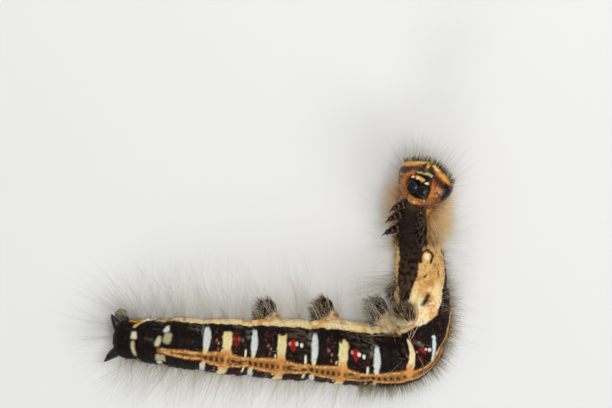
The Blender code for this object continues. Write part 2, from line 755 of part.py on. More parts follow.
def centre_over_floor(larva):
    """Hangs every piece on one empty, moved so that the box's middle is over the origin."""
    bpy.context.view_layer.update()
    corners = [piece.matrix_world @ vert.co for piece in larva.objects for vert in piece.data.vertices]
    low = Vector([min(corner[axis] for corner in corners) for axis in range(3)])
    high = Vector([max(corner[axis] for corner in corners) for axis in range(3)])
    holder = bpy.data.objects.new("larva_at_rest", None)
    for piece in larva.objects:
        piece.parent = holder
    larva.objects.link(holder)
    holder.location = (-(low.x + high.x) / 2, -(low.y + high.y) / 2, -low.z)


def main():
    """Clears the scene, builds each sub-part in its collection and centres the larva."""
    for old in list(bpy.data.objects):
        bpy.data.objects.remove(old)
    larva = bpy.data.collections.new("common_duffer_larva")
    bpy.context.scene.collection.children.link(larva)
    skin = material("dark_banded_skin", SKIN_BLACK, 0.6)
    bodies = add_bodies(larva, skin)
    for name in ("prothorax", "mesothorax"):
        combine(bodies[name], [head_capsule("cutter", larva, grow=GAP)], "DIFFERENCE")
    add_head(larva)
    add_prolegs(larva)
    add_thorax_legs(larva)
    add_horns(larva)
    centre_over_floor(larva)


if __name__ == "__main__":
    main()
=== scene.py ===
"""Common duffer larva, life size and still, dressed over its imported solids.

Lengths are in millimetres in the frame of the larva's centre line; one shift and one scale turn
them to the row frame. The body is one soft skin from tail to neck with the belly legs drawn out of
it, and the head, mouthparts, feelers, eyes, true legs, horns and coat are pieces of their own.
"""

import logging
import math
from dataclasses import dataclass, field, replace
from enum import Enum
from typing import NamedTuple

import bpy
import numpy as np
from mathutils import Matrix, Vector


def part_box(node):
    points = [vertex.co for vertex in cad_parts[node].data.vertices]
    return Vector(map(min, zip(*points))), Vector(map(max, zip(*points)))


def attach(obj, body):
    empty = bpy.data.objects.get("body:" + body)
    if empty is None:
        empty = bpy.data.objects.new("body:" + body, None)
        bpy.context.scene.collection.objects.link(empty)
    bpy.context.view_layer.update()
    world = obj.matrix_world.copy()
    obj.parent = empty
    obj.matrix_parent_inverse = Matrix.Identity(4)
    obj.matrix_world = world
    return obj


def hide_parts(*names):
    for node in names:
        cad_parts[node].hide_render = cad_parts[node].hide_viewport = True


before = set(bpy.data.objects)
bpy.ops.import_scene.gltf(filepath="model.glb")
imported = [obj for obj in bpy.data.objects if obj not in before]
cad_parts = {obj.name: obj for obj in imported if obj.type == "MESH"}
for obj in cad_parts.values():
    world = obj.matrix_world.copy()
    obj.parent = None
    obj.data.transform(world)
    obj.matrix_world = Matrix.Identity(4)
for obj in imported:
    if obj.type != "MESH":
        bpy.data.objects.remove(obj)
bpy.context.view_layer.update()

Array = np.ndarray
LOG = logging.getLogger("duffer_larva")
MM = 0.001
UP = np.array([0.0, 0.0, 1.0])


class Segment(NamedTuple):
    """One ring of the body: its share of the centre line, radius, tuck of its left side and roll."""

    name: str
    length: float
    radius: float
    tuck: float
    roll: float


SEGMENTS = (
    Segment("anal_segment", 2.3, 1.85, 1.0, -16),
    Segment("abdomen_9", 3.0, 2.2, 1.0, -15),
    Segment("abdomen_8", 3.8, 2.5, 1.0, -14),
    Segment("abdomen_7", 4.8, 2.72, 1.0, -10),
    Segment("abdomen_6", 6.2, 2.97, 1.0, -5),
    Segment("abdomen_5", 6.3, 3.2, 1.0, 3),
    Segment("abdomen_4", 6.2, 3.3, 0.84, 25),
    Segment("abdomen_3", 4.6, 3.05, 0.66, 95),
    Segment("abdomen_2", 4.0, 2.65, 0.9, 140),
    Segment("abdomen_1", 3.5, 2.3, 1.0, 152),
    Segment("metathorax", 2.9, 2.0, 1.0, 156),
    Segment("mesothorax", 2.4, 1.85, 1.0, 157),
    Segment("prothorax", 2.0, 1.75, 1.0, 155),
)
SEGMENT_INDEX = {segment.name: index for index, segment in enumerate(SEGMENTS)}

SPINE = (
    (-19.4, -14.4, 2.5), (-12.2, -14.45, 3.35), (-7.6, -14.7, 3.6), (-1.6, -14.86, 3.85),
    (4.2, -15.0, 4.1), (7.9, -15.12, 4.2), (10.5, -14.25, 4.1), (11.35, -12.1, 3.8),
    (11.45, -9.35, 3.2), (11.3, -6.8, 2.5), (11.2, -4.5, 2.15), (11.05, -2.0, 2.55),
    (11.0, 1.05, 3.7), (11.2, 3.85, 5.3), (11.5, 5.4, 6.5),
)

HEAD_CENTRE = np.array([11.75, 7.25, 7.75])
VIEW_ELEVATION = math.radians(57.5)
FACE_TURN = math.radians(20)
FACE_ROLL = math.radians(26)


class Side(Enum):
    """A side of the larva, with the sign of its angle from the back."""

    LEFT = 1
    RIGHT = -1

    @property
    def word(self) -> str:
        """The side's name as the nodes give it."""
        return self.name.lower()


def linear(hex_colour: str) -> Array:
    """Turns an sRGB hex colour to linear red, green and blue.

    Args:
        hex_colour: Six hex digits after a hash.

    Returns:
        Three linear values; each is (c/12.92) below 0.04045 and ((c+0.055)/1.055)^2.4 above it.
    """
    codes = np.array([int(hex_colour[k : k + 2], 16) / 255 for k in (1, 3, 5)])
    return np.where(codes <= 0.04045, codes / 12.92, ((codes + 0.055) / 1.055) ** 2.4)


def smooth(low: float | Array, high: float | Array, value: Array) -> Array:
    """A step from 0 at low to 1 at high, t*t*(3 - 2t) of the clipped share t.

    Args:
        low: Where the step starts.
        high: Where it ends.
        value: The values to read.

    Returns:
        The step at each value.
    """
    share = np.clip((value - low) / (high - low), 0, 1)
    return share * share * (3 - 2 * share)


def window(value: Array, low: float | Array, high: float | Array, soft: float | Array) -> Array:
    """One between low and high, falling to 0 over soft on each side of both."""
    return smooth(low - soft, low + soft, value) * (1 - smooth(high - soft, high + soft, value))


def bell(value: Array, centre: float | Array, width: float | Array) -> Array:
    """The bell exp(-((value - centre)/width)^2)."""
    return np.exp(-(((value - centre) / width) ** 2))


def blot(across: Array, along: Array, soft: float = 0.3) -> Array:
    """A round spot: 1 where the length of (across, along) is under 1, with a soft rim."""
    return 1 - smooth(1 - soft, 1 + soft, np.hypot(across, along))


def blend(first: Array, second: Array, share: Array) -> Array:
    """Rows of first mixed towards second by share."""
    return first + (second - first) * np.asarray(share)[..., None]


def mix(first: str, second: str, share: Array) -> Array:
    """Two sRGB hex colours as linear rows, the first mixed towards the second by share."""
    return blend(linear(first), linear(second), share)


def lookup(at: Array, table: tuple, column: int = 1) -> Array:
    """Reads a table by its first column, straight between its rows.

    Args:
        at: The places to read.
        table: Rows whose first value rises.
        column: The column read.

    Returns:
        One value for each place.
    """
    rows = np.array(table, float)
    return np.interp(at, rows[:, 0], rows[:, column])


def all_pairs(first: Array, second: Array) -> tuple[Array, Array]:
    """Every pair of the two rows' values, as two long rows in which the second runs fastest."""
    return tuple(values.ravel() for values in np.meshgrid(first, second, indexing="ij"))


def unit(rows: Array) -> Array:
    """Rows scaled to length 1."""
    return rows / np.maximum(np.linalg.norm(rows, axis=-1, keepdims=True), 1e-12)


def lattice_noise(points: Array, size: float, seed: int) -> Array:
    """Smooth noise in 0 to 1: random values on a lattice of this size, read between its corners.

    Args:
        points: Rows of positions.
        size: The lattice spacing in the points' own unit.
        seed: Picks the random values.

    Returns:
        One value for each row.
    """
    scaled = points / size + 31.7 * seed
    cell = np.floor(scaled).astype(np.int64)
    part = scaled - cell
    part = part * part * (3 - 2 * part)
    total = np.zeros(len(points))
    for corner in np.ndindex(2, 2, 2):
        at = cell + np.array(corner)
        mixed = at[:, 0] * 374761393 + at[:, 1] * 668265263 + at[:, 2] * 1442695041 + seed * 97
        mixed = (mixed ^ (mixed >> 13)) * 1274126177
        draw = ((mixed ^ (mixed >> 16)) & 0xFFFFFF) / 0xFFFFFF
        total += draw * np.prod(np.where(corner, part, 1 - part), axis=1)
    return total


def natural_cubic(knots: Array, values: Array, at: Array) -> Array:
    """The natural cubic through the values at the knots.

    Args:
        knots: Rising places.
        values: A row of values at each knot.
        at: The places to read.

    Returns:
        The rows there, from the second derivatives that make the curve smooth and straight-ended.
    """
    gaps = np.diff(knots)
    count = len(knots)
    system = np.eye(count)
    right = np.zeros_like(values)
    for i in range(1, count - 1):
        system[i, i - 1 : i + 2] = (gaps[i - 1], 2 * (gaps[i - 1] + gaps[i]), gaps[i])
        rise_after = (values[i + 1] - values[i]) / gaps[i]
        rise_before = (values[i] - values[i - 1]) / gaps[i - 1]
        right[i] = 6 * (rise_after - rise_before)
    bends = np.linalg.solve(system, right)
    cell = np.clip(np.searchsorted(knots, at) - 1, 0, count - 2)
    gap = gaps[cell][:, None]
    ahead = (at - knots[cell])[:, None]
    behind = gap - ahead
    curve = (bends[cell] * behind**3 + bends[cell + 1] * ahead**3) / (6 * gap)
    start = (values[cell] / gap - bends[cell] * gap / 6) * behind
    end = (values[cell + 1] / gap - bends[cell + 1] * gap / 6) * ahead
    return curve + start + end


def head_axes() -> Array:
    """Works out the head's own axes; the face looks up and to one side.

    Returns:
        Its width, up and front directions as rows.
    """
    view = np.array([0, math.cos(VIEW_ELEVATION), math.sin(VIEW_ELEVATION)])
    above = np.array([0, math.sin(VIEW_ELEVATION), -math.cos(VIEW_ELEVATION)])
    beside = np.array([1.0, 0, 0])
    front = view * math.cos(FACE_TURN) - beside * math.sin(FACE_TURN)
    up = above * math.cos(FACE_ROLL) + beside * math.sin(FACE_ROLL)
    up = unit(up - front * up.dot(front))
    return np.array([np.cross(up, front), up, front])


HEAD_AXES = head_axes()


def in_head(places: Array) -> Array:
    """Points at these places along the head's width, up and front axes."""
    return HEAD_CENTRE + np.asarray(places, float) @ HEAD_AXES


def frame_shift() -> Array:
    """The move from the centre line's frame to the row frame, from the lower lip's own place."""
    low, high = (np.array(corner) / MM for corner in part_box("labium"))
    return (low + high) / 2 - in_head((0, -1.74, 1.2))


SHIFT = frame_shift()


def to_row(points: Array) -> Array:
    """Moves points from the centre line's frame to the row frame.

    Args:
        points: Rows in millimetres.

    Returns:
        Rows in metres, none under the floor.
    """
    moved = (points + SHIFT) * MM
    moved[:, 2] = np.maximum(moved[:, 2], 0.0)
    return moved


def mesh_piece(
    name: str,
    points: Array,
    faces: Array,
    finish: bpy.types.Material,
    tint: Array,
    corner_uv: Array | None = None,
) -> bpy.types.Object:
    """Makes an object at the origin whose mesh holds these points and faces.

    Args:
        name: The piece's name.
        points: Rows of positions in the centre line's frame.
        faces: Rows of three or four point numbers.
        finish: The material.
        tint: A linear colour for each point, kept as the attribute Tint.
        corner_uv: A place on the baking map for each face corner.

    Returns:
        The linked object, smooth shaded.
    """
    mesh = bpy.data.meshes.new(name)
    mesh.vertices.add(len(points))
    mesh.vertices.foreach_set("co", to_row(points).ravel())
    sides = faces.shape[1]
    mesh.loops.add(faces.size)
    mesh.loops.foreach_set("vertex_index", faces.ravel().astype(np.int32))
    mesh.polygons.add(len(faces))
    mesh.polygons.foreach_set("loop_start", np.arange(0, faces.size, sides, dtype=np.int32))
    mesh.polygons.foreach_set("use_smooth", np.ones(len(faces), dtype=bool))
    mesh.update(calc_edges=True)
    mesh.validate()
    attribute = mesh.color_attributes.new("Tint", "FLOAT_COLOR", "POINT")
    full = np.ones((len(points), 4), np.float32)
    full[:, :3] = tint
    attribute.data.foreach_set("color", full.ravel())
    if corner_uv is not None:
        layer = mesh.uv_layers.new(name="OFBake")
        layer.data.foreach_set("uv", corner_uv.astype(np.float32).ravel())
    mesh.materials.append(finish)
    piece = bpy.data.objects.new(name, mesh)
    bpy.context.scene.collection.objects.link(piece)
    return piece


def stand_for(piece: bpy.types.Object, slot: str, *nodes: str) -> None:
    """Lets a piece replace its solids and puts it on the root.

    Args:
        piece: The piece.
        slot: The name of its look; not used.
        *nodes: The solids that it stands for.
    """
    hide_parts(*nodes)
    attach(piece, "root")
    LOG.info("%s: %d points for %s", piece.name, len(piece.data.vertices), ", ".join(nodes))


def grid_faces(rows: int, columns: int) -> Array:
    """Four-sided faces between the rows of a grid of points that is closed around.

    Args:
        rows: Rows in the grid.
        columns: Points in a row.

    Returns:
        Rows of four point numbers.
    """
    row = np.arange(rows - 1)[:, None] * columns
    column = np.arange(columns)[None, :]
    after = (column + 1) % columns
    quads = np.stack([row + column, row + after, row + columns + after, row + columns + column], -1)
    return quads.reshape(-1, 4)


def capped_grid(grid: Array, first: Array, last: Array) -> tuple[Array, Array]:
    """Closes a wrapped grid with a pole at each end.

    Args:
        grid: Points as (rows, columns, 3).
        first: The pole before the first row.
        last: The pole after the last row.

    Returns:
        All points, the two poles last, and the triangles between them.
    """
    rows, columns, _ = grid.shape
    points = np.concatenate([grid.reshape(-1, 3), first[None], last[None]])
    k = np.arange(columns)
    after = (k + 1) % columns
    start = rows * columns
    low = np.stack([after, k, np.full(columns, start)], -1)
    high = np.stack([k, after, np.full(columns, start + 1)], -1)
    high[:, :2] += (rows - 1) * columns
    quads = grid_faces(rows, columns)
    split = np.concatenate([quads[:, [0, 1, 2]], quads[:, [0, 2, 3]], low, high])
    return points, split


def tube_grid(path: Array, radii: Array, around: int, squash: float = 1.0) -> Array:
    """Rings of this many points square to a path.

    Args:
        path: Rows of positions along the middle.
        radii: The radius at each.
        around: Points in a ring.
        squash: The second radius as a share of the first.

    Returns:
        Points as (rings, around, 3): path + r*(cos a * across + squash * sin a * beside).
    """
    ahead = unit(np.gradient(path, axis=0))
    across = unit(np.cross(ahead, np.array([0.31, 0.17, 0.93])))
    beside = np.cross(ahead, across)
    turn = np.linspace(0, 2 * math.pi, around, endpoint=False)[None, :, None]
    ring = np.cos(turn) * across[:, None] + squash * np.sin(turn) * beside[:, None]
    return path[:, None] + ring * np.asarray(radii)[:, None, None]


@dataclass
class CentreLine:
    """The larva's centre line by length from the tail, with the ring frame at each place on it."""

    knots: tuple = SPINE
    segments: tuple = SEGMENTS
    ring_lag: float = 1.0
    ring_span: float = 2.4
    samples: int = 800
    points: Array = field(init=False)
    lengths: Array = field(init=False)
    edges: Array = field(init=False)
    middles: Array = field(init=False)

    def __post_init__(self) -> None:
        """Samples the natural cubic through the knots and shares its length among the segments."""
        knots = np.array(self.knots)
        marks = np.concatenate([[0], np.cumsum(np.linalg.norm(np.diff(knots, axis=0), axis=1))])
        self.points = natural_cubic(marks, knots, np.linspace(0, marks[-1], self.samples))
        steps = np.linalg.norm(np.diff(self.points, axis=0), axis=1)
        self.lengths = np.concatenate([[0], np.cumsum(steps)])
        shares = np.array([segment.length for segment in self.segments])
        shares = shares * self.lengths[-1] / shares.sum()
        self.edges = np.concatenate([[0], np.cumsum(shares)])
        self.middles = (self.edges[1:] + self.edges[:-1]) / 2

    def at(self, place: Array) -> Array:
        """The centre line's points at these lengths from the tail."""
        return np.stack([np.interp(place, self.lengths, self.points[:, k]) for k in range(3)], -1)

    def by_segment(self, place: Array, values: tuple | list) -> Array:
        """Values given at each segment's middle, read between them."""
        return np.interp(place, self.middles, values)

    def frames(self, place: Array) -> tuple[Array, Array, Array, Array, Array]:
        """The rings' centres and their ahead, back, left and level right directions.

        Args:
            place: Lengths from the tail.

        Returns:
            Five arrays of rows. The heading is averaged over ring_span behind and ahead of a
            point that lags by ring_lag, and the back turns from straight up by the roll.
        """
        place = np.asarray(place, float)
        middle = np.clip(place - self.ring_lag, self.ring_span, self.lengths[-1] - self.ring_span)
        ahead = unit(self.at(middle + self.ring_span) - self.at(middle - self.ring_span))
        right = unit(np.cross(ahead, UP))
        above = np.cross(right, ahead)
        roll = np.radians(self.by_segment(place, [segment.roll for segment in self.segments]))[:, None]
        back = above * np.cos(roll) + right * np.sin(roll)
        return self.at(place), ahead, back, np.cross(back, ahead), right

    def radius(self, place: Array) -> Array:
        """The body's plain radius there."""
        return self.by_segment(place, [segment.radius for segment in self.segments])

    def ring_points(self, place: Array, angle: Array, distance: Array) -> Array:
        """Points at these distances from the centre line, by their angle from the back to the left.

        Args:
            place: Lengths from the tail.
            angle: Angles in radians.
            distance: Distances in millimetres.

        Returns:
            Rows of centre + distance*(cos a * back + sin a * left), the inner side tucked in.
        """
        centre, _, back, left, right = self.frames(place)
        turn = np.asarray(angle)[:, None]
        offset = (back * np.cos(turn) + left * np.sin(turn)) * np.asarray(distance)[:, None]
        tuck = self.by_segment(place, [segment.tuck for segment in self.segments])
        inward = np.minimum((offset * right).sum(1), 0) * (tuck - 1)
        return centre + offset + right * inward[:, None]

    def segment_of(self, place: Array) -> tuple[Array, Array, Array]:
        """Each place's segment number, its length from the tail-side edge and the segment's length."""
        index = np.clip(np.searchsorted(self.edges, place, side="right") - 1, 0, len(self.segments) - 1)
        return index, place - self.edges[index], self.edges[index + 1] - self.edges[index]


@dataclass(frozen=True)
class BellyLeg:
    """A belly leg's place and path, as the solids give them."""

    segment: str
    side: Side
    fraction: float
    angle: float
    beside: float
    lean: float
    root_radius: float
    foot_radius: float
    raised: bool = False
    patch: float = 1.95


BELLY_LEGS = (
    BellyLeg("abdomen_6", Side.LEFT, 0.42, 140, 2.6, -0.8, 1.1, 0.85),
    BellyLeg("abdomen_6", Side.RIGHT, 0.42, -140, -2.3, -0.3, 1.1, 0.85),
    BellyLeg("abdomen_5", Side.LEFT, 0.4, 140, 2.8, -1.2, 1.15, 0.9),
    BellyLeg("abdomen_5", Side.RIGHT, 0.4, -140, -2.4, -0.4, 1.15, 0.9),
    BellyLeg("abdomen_4", Side.LEFT, 0.38, 142, 3.2, -1.4, 1.15, 0.9),
    BellyLeg("abdomen_4", Side.RIGHT, 0.38, -142, -1.9, -0.2, 1.15, 0.9),
    BellyLeg("abdomen_3", Side.RIGHT, 0.5, -138, 2.2, 0.1, 1.1, 0.9, patch=1.8),
    BellyLeg("abdomen_3", Side.LEFT, 0.5, 138, 1.45, 0.0, 1.1, 0.8, raised=True, patch=1.8),
    BellyLeg("anal_segment", Side.LEFT, 0.5, 142, 1.3, -0.3, 0.75, 0.6, patch=1.1),
    BellyLeg("anal_segment", Side.RIGHT, 0.5, -142, -1.3, -0.3, 0.75, 0.6, patch=1.1),
)


def belly_leg_node(leg: BellyLeg) -> str:
    """The name of the solid that this belly leg stands for."""
    short = leg.segment.replace("abdomen_", "a").replace("_segment", "")
    return f"proleg_{short}_{leg.side.word}"


@dataclass
class LegShape:
    """One belly leg worked out on the centre line: its root, its path and the ring frame there."""

    leg: BellyLeg
    line: CentreLine
    root_depth: float = 0.55
    knee_share: float = 0.45
    ankle_height: float = 0.45
    start_depth: float = 0.32
    wall_from: float = 0.16
    sole_from: float = 0.72
    flare_to: float = 0.26
    place: float = field(init=False)
    angle: float = field(init=False)
    radius: float = field(init=False)
    path: Array = field(init=False)
    marks: Array = field(init=False)
    ahead: Array = field(init=False)

    def __post_init__(self) -> None:
        """Finds the root in the segment, then the knee, ankle and foot as the solid has them."""
        index = SEGMENT_INDEX[self.leg.segment]
        edges = self.line.edges
        self.place = float(edges[index] + self.leg.fraction * (edges[index + 1] - edges[index]))
        self.angle = math.radians(self.leg.angle)
        here = np.array([self.place])
        self.radius = float(self.line.radius(here)[0])
        turn = np.array([self.angle])
        centre, ahead = (rows[0] for rows in self.line.frames(here)[:2])
        root = self.line.ring_points(here, turn, np.array([self.radius * self.root_depth]))[0]
        if self.leg.raised:
            foot = self.line.ring_points(here, turn, np.array([self.radius * self.leg.beside]))[0]
            self.path = np.stack([root + (foot - root) * share for share in (0, 0.5, 0.85, 1)])
        else:
            beside = unit(np.cross(UP, ahead))
            level = unit(ahead * np.array([1, 1, 0]))
            foot = centre + beside * self.leg.beside + level * self.leg.lean
            foot[2] = 0
            ankle = foot + UP * self.ankle_height
            knee = root + (ankle - root) * self.knee_share
            self.path = np.stack([root, knee, ankle, foot])
        steps = np.linalg.norm(np.diff(self.path, axis=0), axis=1)
        self.marks = np.concatenate([[0], np.cumsum(steps)])
        self.ahead = ahead

    def patch_share(self, place: Array, angle: Array) -> tuple[Array, Array]:
        """How near the leg's middle each skin place is, 1 at the middle and 0 at the patch's rim.

        Args:
            place: Lengths from the tail.
            angle: Angles from the back.

        Returns:
            The share and the direction round the patch in radians.
        """
        along = place - self.place
        around = ((angle - self.angle + math.pi) % (2 * math.pi) - math.pi) * self.radius
        share = 1 - np.hypot(along, around) / self.leg.patch
        return share, np.arctan2(around, along)

    def draw_out(self, points: Array, share: Array, turn: Array) -> Array:
        """Moves the patch's points to the leg: flare, then wall, then sole.

        Args:
            points: The skin's points without the leg.
            share: As patch_share gives it, all above 0.
            turn: The direction round the patch.

        Returns:
            The moved points: path(h) + r(h)*(cos t * ahead + sin t * beside), with the wall up to
            the share sole_from, where the sole begins that closes towards the middle.
        """
        start = self.radius * self.start_depth
        wall = np.clip((share - self.wall_from) / (self.sole_from - self.wall_from), 0, 1)
        reach = start + (self.marks[-1] - start) * wall
        spot = np.stack([np.interp(reach, self.marks, self.path[:, k]) for k in range(3)], -1)
        index = np.clip(np.searchsorted(self.marks, reach) - 1, 0, len(self.path) - 2)
        tangent = unit(np.diff(self.path, axis=0))[index]
        low_tangent = unit(self.path[-1] - self.path[0])
        tangent = unit(tangent * 0.35 + low_tangent * 0.65)
        if not self.leg.raised:
            tangent = unit(blend(tangent, np.broadcast_to(-UP, tangent.shape), smooth(0.75, 0.97, wall)))
        ahead = unit(self.ahead - tangent * (tangent @ self.ahead)[:, None])
        beside = np.cross(tangent, ahead)
        leg = self.leg
        girth = leg.root_radius + (leg.foot_radius - leg.root_radius) * wall
        girth *= 1 + 0.07 * np.cos(wall * 5 * math.pi) * (1 - wall)
        girth *= 1 - 0.13 * bell(wall, 0.78, 0.1) + 0.1 * bell(wall, 0.97, 0.08)
        sole = np.clip((share - self.sole_from) / (1 - self.sole_from), 0, 1)
        if leg.raised:
            dome = np.sqrt(np.maximum(1 - sole**2, 0))
            girth = girth * dome
            spot = spot + tangent * (0.32 * leg.foot_radius * (1 - dome))[:, None]
        else:
            girth = girth * (1 - sole)
        drawn = spot + (np.cos(turn)[:, None] * ahead + np.sin(turn)[:, None] * beside) * girth[:, None]
        return points + (drawn - points) * smooth(0.0, self.flare_to, share)[:, None]


class Tone(Enum):
    """The larva's colours as sRGB hex."""

    SOOT = "#0B0503"
    UMBER = "#35170B"
    OLIVE_GREY = "#5E5844"
    STRIPE_WHITE = "#DBE2DA"
    CREAM = "#EEDC9E"
    APRICOT = "#DD9A54"
    LINE_ORANGE = "#BD7F3A"
    LINE_EDGE = "#EDB878"
    RUNG_BROWN = "#3A1E0E"
    BAND_CREAM = "#F0DDA4"
    BAND_GOLD = "#E0A45A"
    GRAIN_ORANGE = "#E5691F"
    GRAIN_WHITE = "#FBF3E4"
    RED = "#9C1A08"
    FOLD_CREAM = "#EFD3A0"
    FOLD_BROWN = "#6B3E22"
    BELLY = "#8A664A"
    BELLY_DARK = "#180D08"
    LEG_BROWN = "#2E190F"
    THORAX_GOLD = "#D0933F"
    FRECKLE = "#8A4A36"
    FOLD_GREY = "#9A9484"
    RED_DEEP = "#5E0A04"
    STREAK = "#E9E2C4"

    @property
    def rgb(self) -> Array:
        """The colour as linear red, green and blue."""
        return linear(self.value)


@dataclass(frozen=True)
class Stroke:
    """A painted line or spot: nodes of (first, second, half width), its colour and its soft rim."""

    nodes: tuple
    tone: str
    strength: float = 1.0
    soft: float = 0.07
    stretch: float = 1.0

    def lay(self, colour: Array, first: Array, second: Array, scale: Array | float, wobble: Array) -> Array:
        """Paints the stroke over the rows.

        Args:
            colour: Rows so far.
            first: Each row's first place.
            second: Each row's second place.
            scale: Millimetres to one step of the second place.
            wobble: Millimetres added to each row's distance, for a natural rim.

        Returns:
            The rows with the stroke's colour where the distance from its line is under its half width.
        """
        gap = np.full(len(first), 1e3)
        ends = self.nodes[1:] or self.nodes
        for (u, v, half), (u_end, v_end, half_end) in zip(self.nodes, ends, strict=False):
            run = ((u_end - u) * self.stretch, (v_end - v) * scale)
            off = ((first - u) * self.stretch, (second - v) * scale)
            length = np.maximum(run[0] ** 2 + run[1] ** 2, 1e-9)
            share = np.clip((off[0] * run[0] + off[1] * run[1]) / length, 0, 1)
            away = np.hypot(off[0] - share * run[0], off[1] - share * run[1])
            gap = np.minimum(gap, away - half - (half_end - half) * share)
        cover = (1 - smooth(-self.soft, self.soft, gap + wobble)) * self.strength
        return blend(colour, linear(self.tone), cover)


BODY_STROKES = (
    Stroke(((1.7, 95, 0.13), (2.9, 92, 0.17)), "#DE9A40"),
    Stroke(((2.3, 62, 0.18), (3.0, 84, 0.27), (3.5, 95, 0.24)), "#E8C078"),
    Stroke(((3.2, 90, 0.12), (3.6, 94, 0.12)), "#F1E3C4"),
    Stroke(((2.34, 37, 0.25), (2.36, 27, 0.28)), "#E9DDC0", 1.0, 0.13),
    Stroke(((2.3, 10, 0.18), (2.34, -10, 0.2), (2.5, -32, 0.15)), "#CDBB94", 1.0, 0.12),
    Stroke(((2.75, -50, 0.14), (2.95, -60, 0.12)), "#B88A5A"),
    Stroke(((3.5, 24, 0.1), (4.2, 22, 0.12)), "#5E5240", 0.6, 0.15),
    Stroke(((4.95, 28, 0.16), (4.75, 12, 0.27)), "#C9BF9C", 1.0, 0.14),
    Stroke(((5.75, 35, 0.36), (5.68, 24, 0.4)), "#B5AD85", 1.0, 0.16),
    Stroke(((5.62, 60, 0.14), (5.55, 51, 0.3)), "#DCE4DC", 1.0, 0.14),
    Stroke(((4.85, -20, 0.2), (4.95, -32, 0.34)), "#B4AB84", 1.0, 0.16),
    Stroke(((5.3, -22, 0.22), (5.35, -34, 0.2)), "#C4B68A", 0.9, 0.16),
    Stroke(((4.95, -46, 0.22), (5.0, -54, 0.2)), "#D3DAD0", 1.0, 0.12),
    Stroke(
        ((31.45, 90, 0.28), (31.2, 78, 0.4), (30.8, 62, 0.42), (30.25, 44, 0.42), (29.75, 28, 0.4)),
        "#F1DFB0", stretch=1.8,
    ),
    Stroke(
        ((30.0, 34, 0.22), (29.7, 24, 0.38), (29.45, 12, 0.4)),
        "#DD9A54", soft=0.2, stretch=1.8,
    ),
    Stroke(((31.7, 90, 0.09), (31.4, 76, 0.07), (31.2, 66, 0.04)), "#DC8A3C", stretch=1.8),
    Stroke(((33.1, 54, 0.13), (32.2, 32, 0.22), (31.6, 23, 0.16)), "#D3E1E0", stretch=1.6),
    Stroke(((31.5, 21, 0.15), (31.3, 15, 0.15)), "#EEDDB0", stretch=1.6),
    Stroke(((31.68, 53, 0.3), (31.6, 46, 0.2)), "#9C1A08", stretch=1.8),
    Stroke(((31.05, 43, 0.2), (30.95, 38, 0.14)), "#7A0E06", stretch=1.8),
    Stroke(((31.25, 57, 0.1),), "#D98F78", stretch=1.8),
    Stroke(((31.9, 48, 0.13),), "#F3D9CC", stretch=1.8),
    Stroke(((31.96, 40, 0.19),), "#EFEAD6", stretch=1.8),
    Stroke(((30.0, 60, 0.1), (30.1, 52, 0.06)), "#A8644C", 0.8, stretch=1.6),
    Stroke(((29.4, 48, 0.09),), "#9A5A40", 0.8, stretch=1.6),
    Stroke(((29.7, 36, 0.1),), "#E9DCB0", 1.0, stretch=1.6),
    Stroke(((36.0, 104, 0.22), (36.6, 100, 0.3)), "#2A160D", 0.95, 0.2),
    Stroke(((38.7, 126, 0.1), (38.95, 122, 0.08)), "#3A1E10"),
    Stroke(((38.9, 90, 0.07), (38.3, 86, 0.09)), "#3A2212"),
    Stroke(((39.9, 92, 0.05), (39.6, 89, 0.07)), "#6A4424"),
    Stroke(((42.5, 112, 0.1), (41.6, 98, 0.12), (40.8, 88, 0.08)), "#C98A4A", 0.6, 0.12),
    Stroke(((39.7, 110, 0.12), (38.9, 98, 0.1), (38.0, 86, 0.1)), "#D29A58", 0.6, 0.14),
    Stroke(((37.9, 130, 0.14), (37.5, 112, 0.1)), "#C88444", 0.5, 0.14),
    Stroke(
        (
            (40.65, 138, 0.16), (41.6, 143, 0.24), (42.3, 139, 0.2), (42.5, 126, 0.17),
            (41.8, 114, 0.18), (40.9, 108, 0.16), (40.35, 114, 0.12),
        ),
        "#321809",
    ),
    Stroke(((40.95, 124, 0.2), (41.55, 125, 0.24)), "#F3E2BC", soft=0.1),
    Stroke(((43.1, 116, 0.1), (43.5, 108, 0.14)), "#4A2A14", 0.7, 0.1),
)


@dataclass(frozen=True)
class SkinPlaces:
    """Places on the skin with all that the markings read there.

    Lengths are in millimetres and angles in degrees: raw from the back, turn from the middle of the
    pattern with its sign and wide without it. The three noises lie in 0 to 1.
    """

    place: Array
    points: Array
    raw: Array
    turn: Array
    along: Array
    length: Array
    girth: Array
    strengths: dict[str, Array]
    rough: Array
    fine: Array
    coarse: Array

    @property
    def wide(self) -> Array:
        """The angle from the pattern's middle, either side."""
        return np.abs(self.turn)

    @property
    def share(self) -> Array:
        """The length from the segment's tail edge as a share of the segment."""
        return self.along / self.length


class Dot(NamedTuple):
    """A small mark: its share of the segment, its offset round it, its two half sizes and its tone."""

    share: float
    offset: float
    half_long: float
    half_wide: float
    tone: str


RED_SPOT_MARKS = (
    Dot(0.685, 0.1, 0.13, 0.2, "#D98F78"),
    Dot(0.8, 0.12, 0.17, 0.2, "#F3D9CC"),
    Dot(0.875, 0.03, 0.16, 0.22, "#EDE9D2"),
)
SMALL_DOTS = (
    Dot(0.32, 43, 0.13, 0.195, "#A8604A"),
    Dot(0.37, 36, 0.09, 0.135, "#C98A6A"),
    Dot(0.36, 25, 0.1, 0.15, "#9A5A40"),
    Dot(0.3, 62, 0.14, 0.21, "#4A302A"),
    Dot(0.45, 22, 0.1, 0.15, "#E9DCB0"),
)


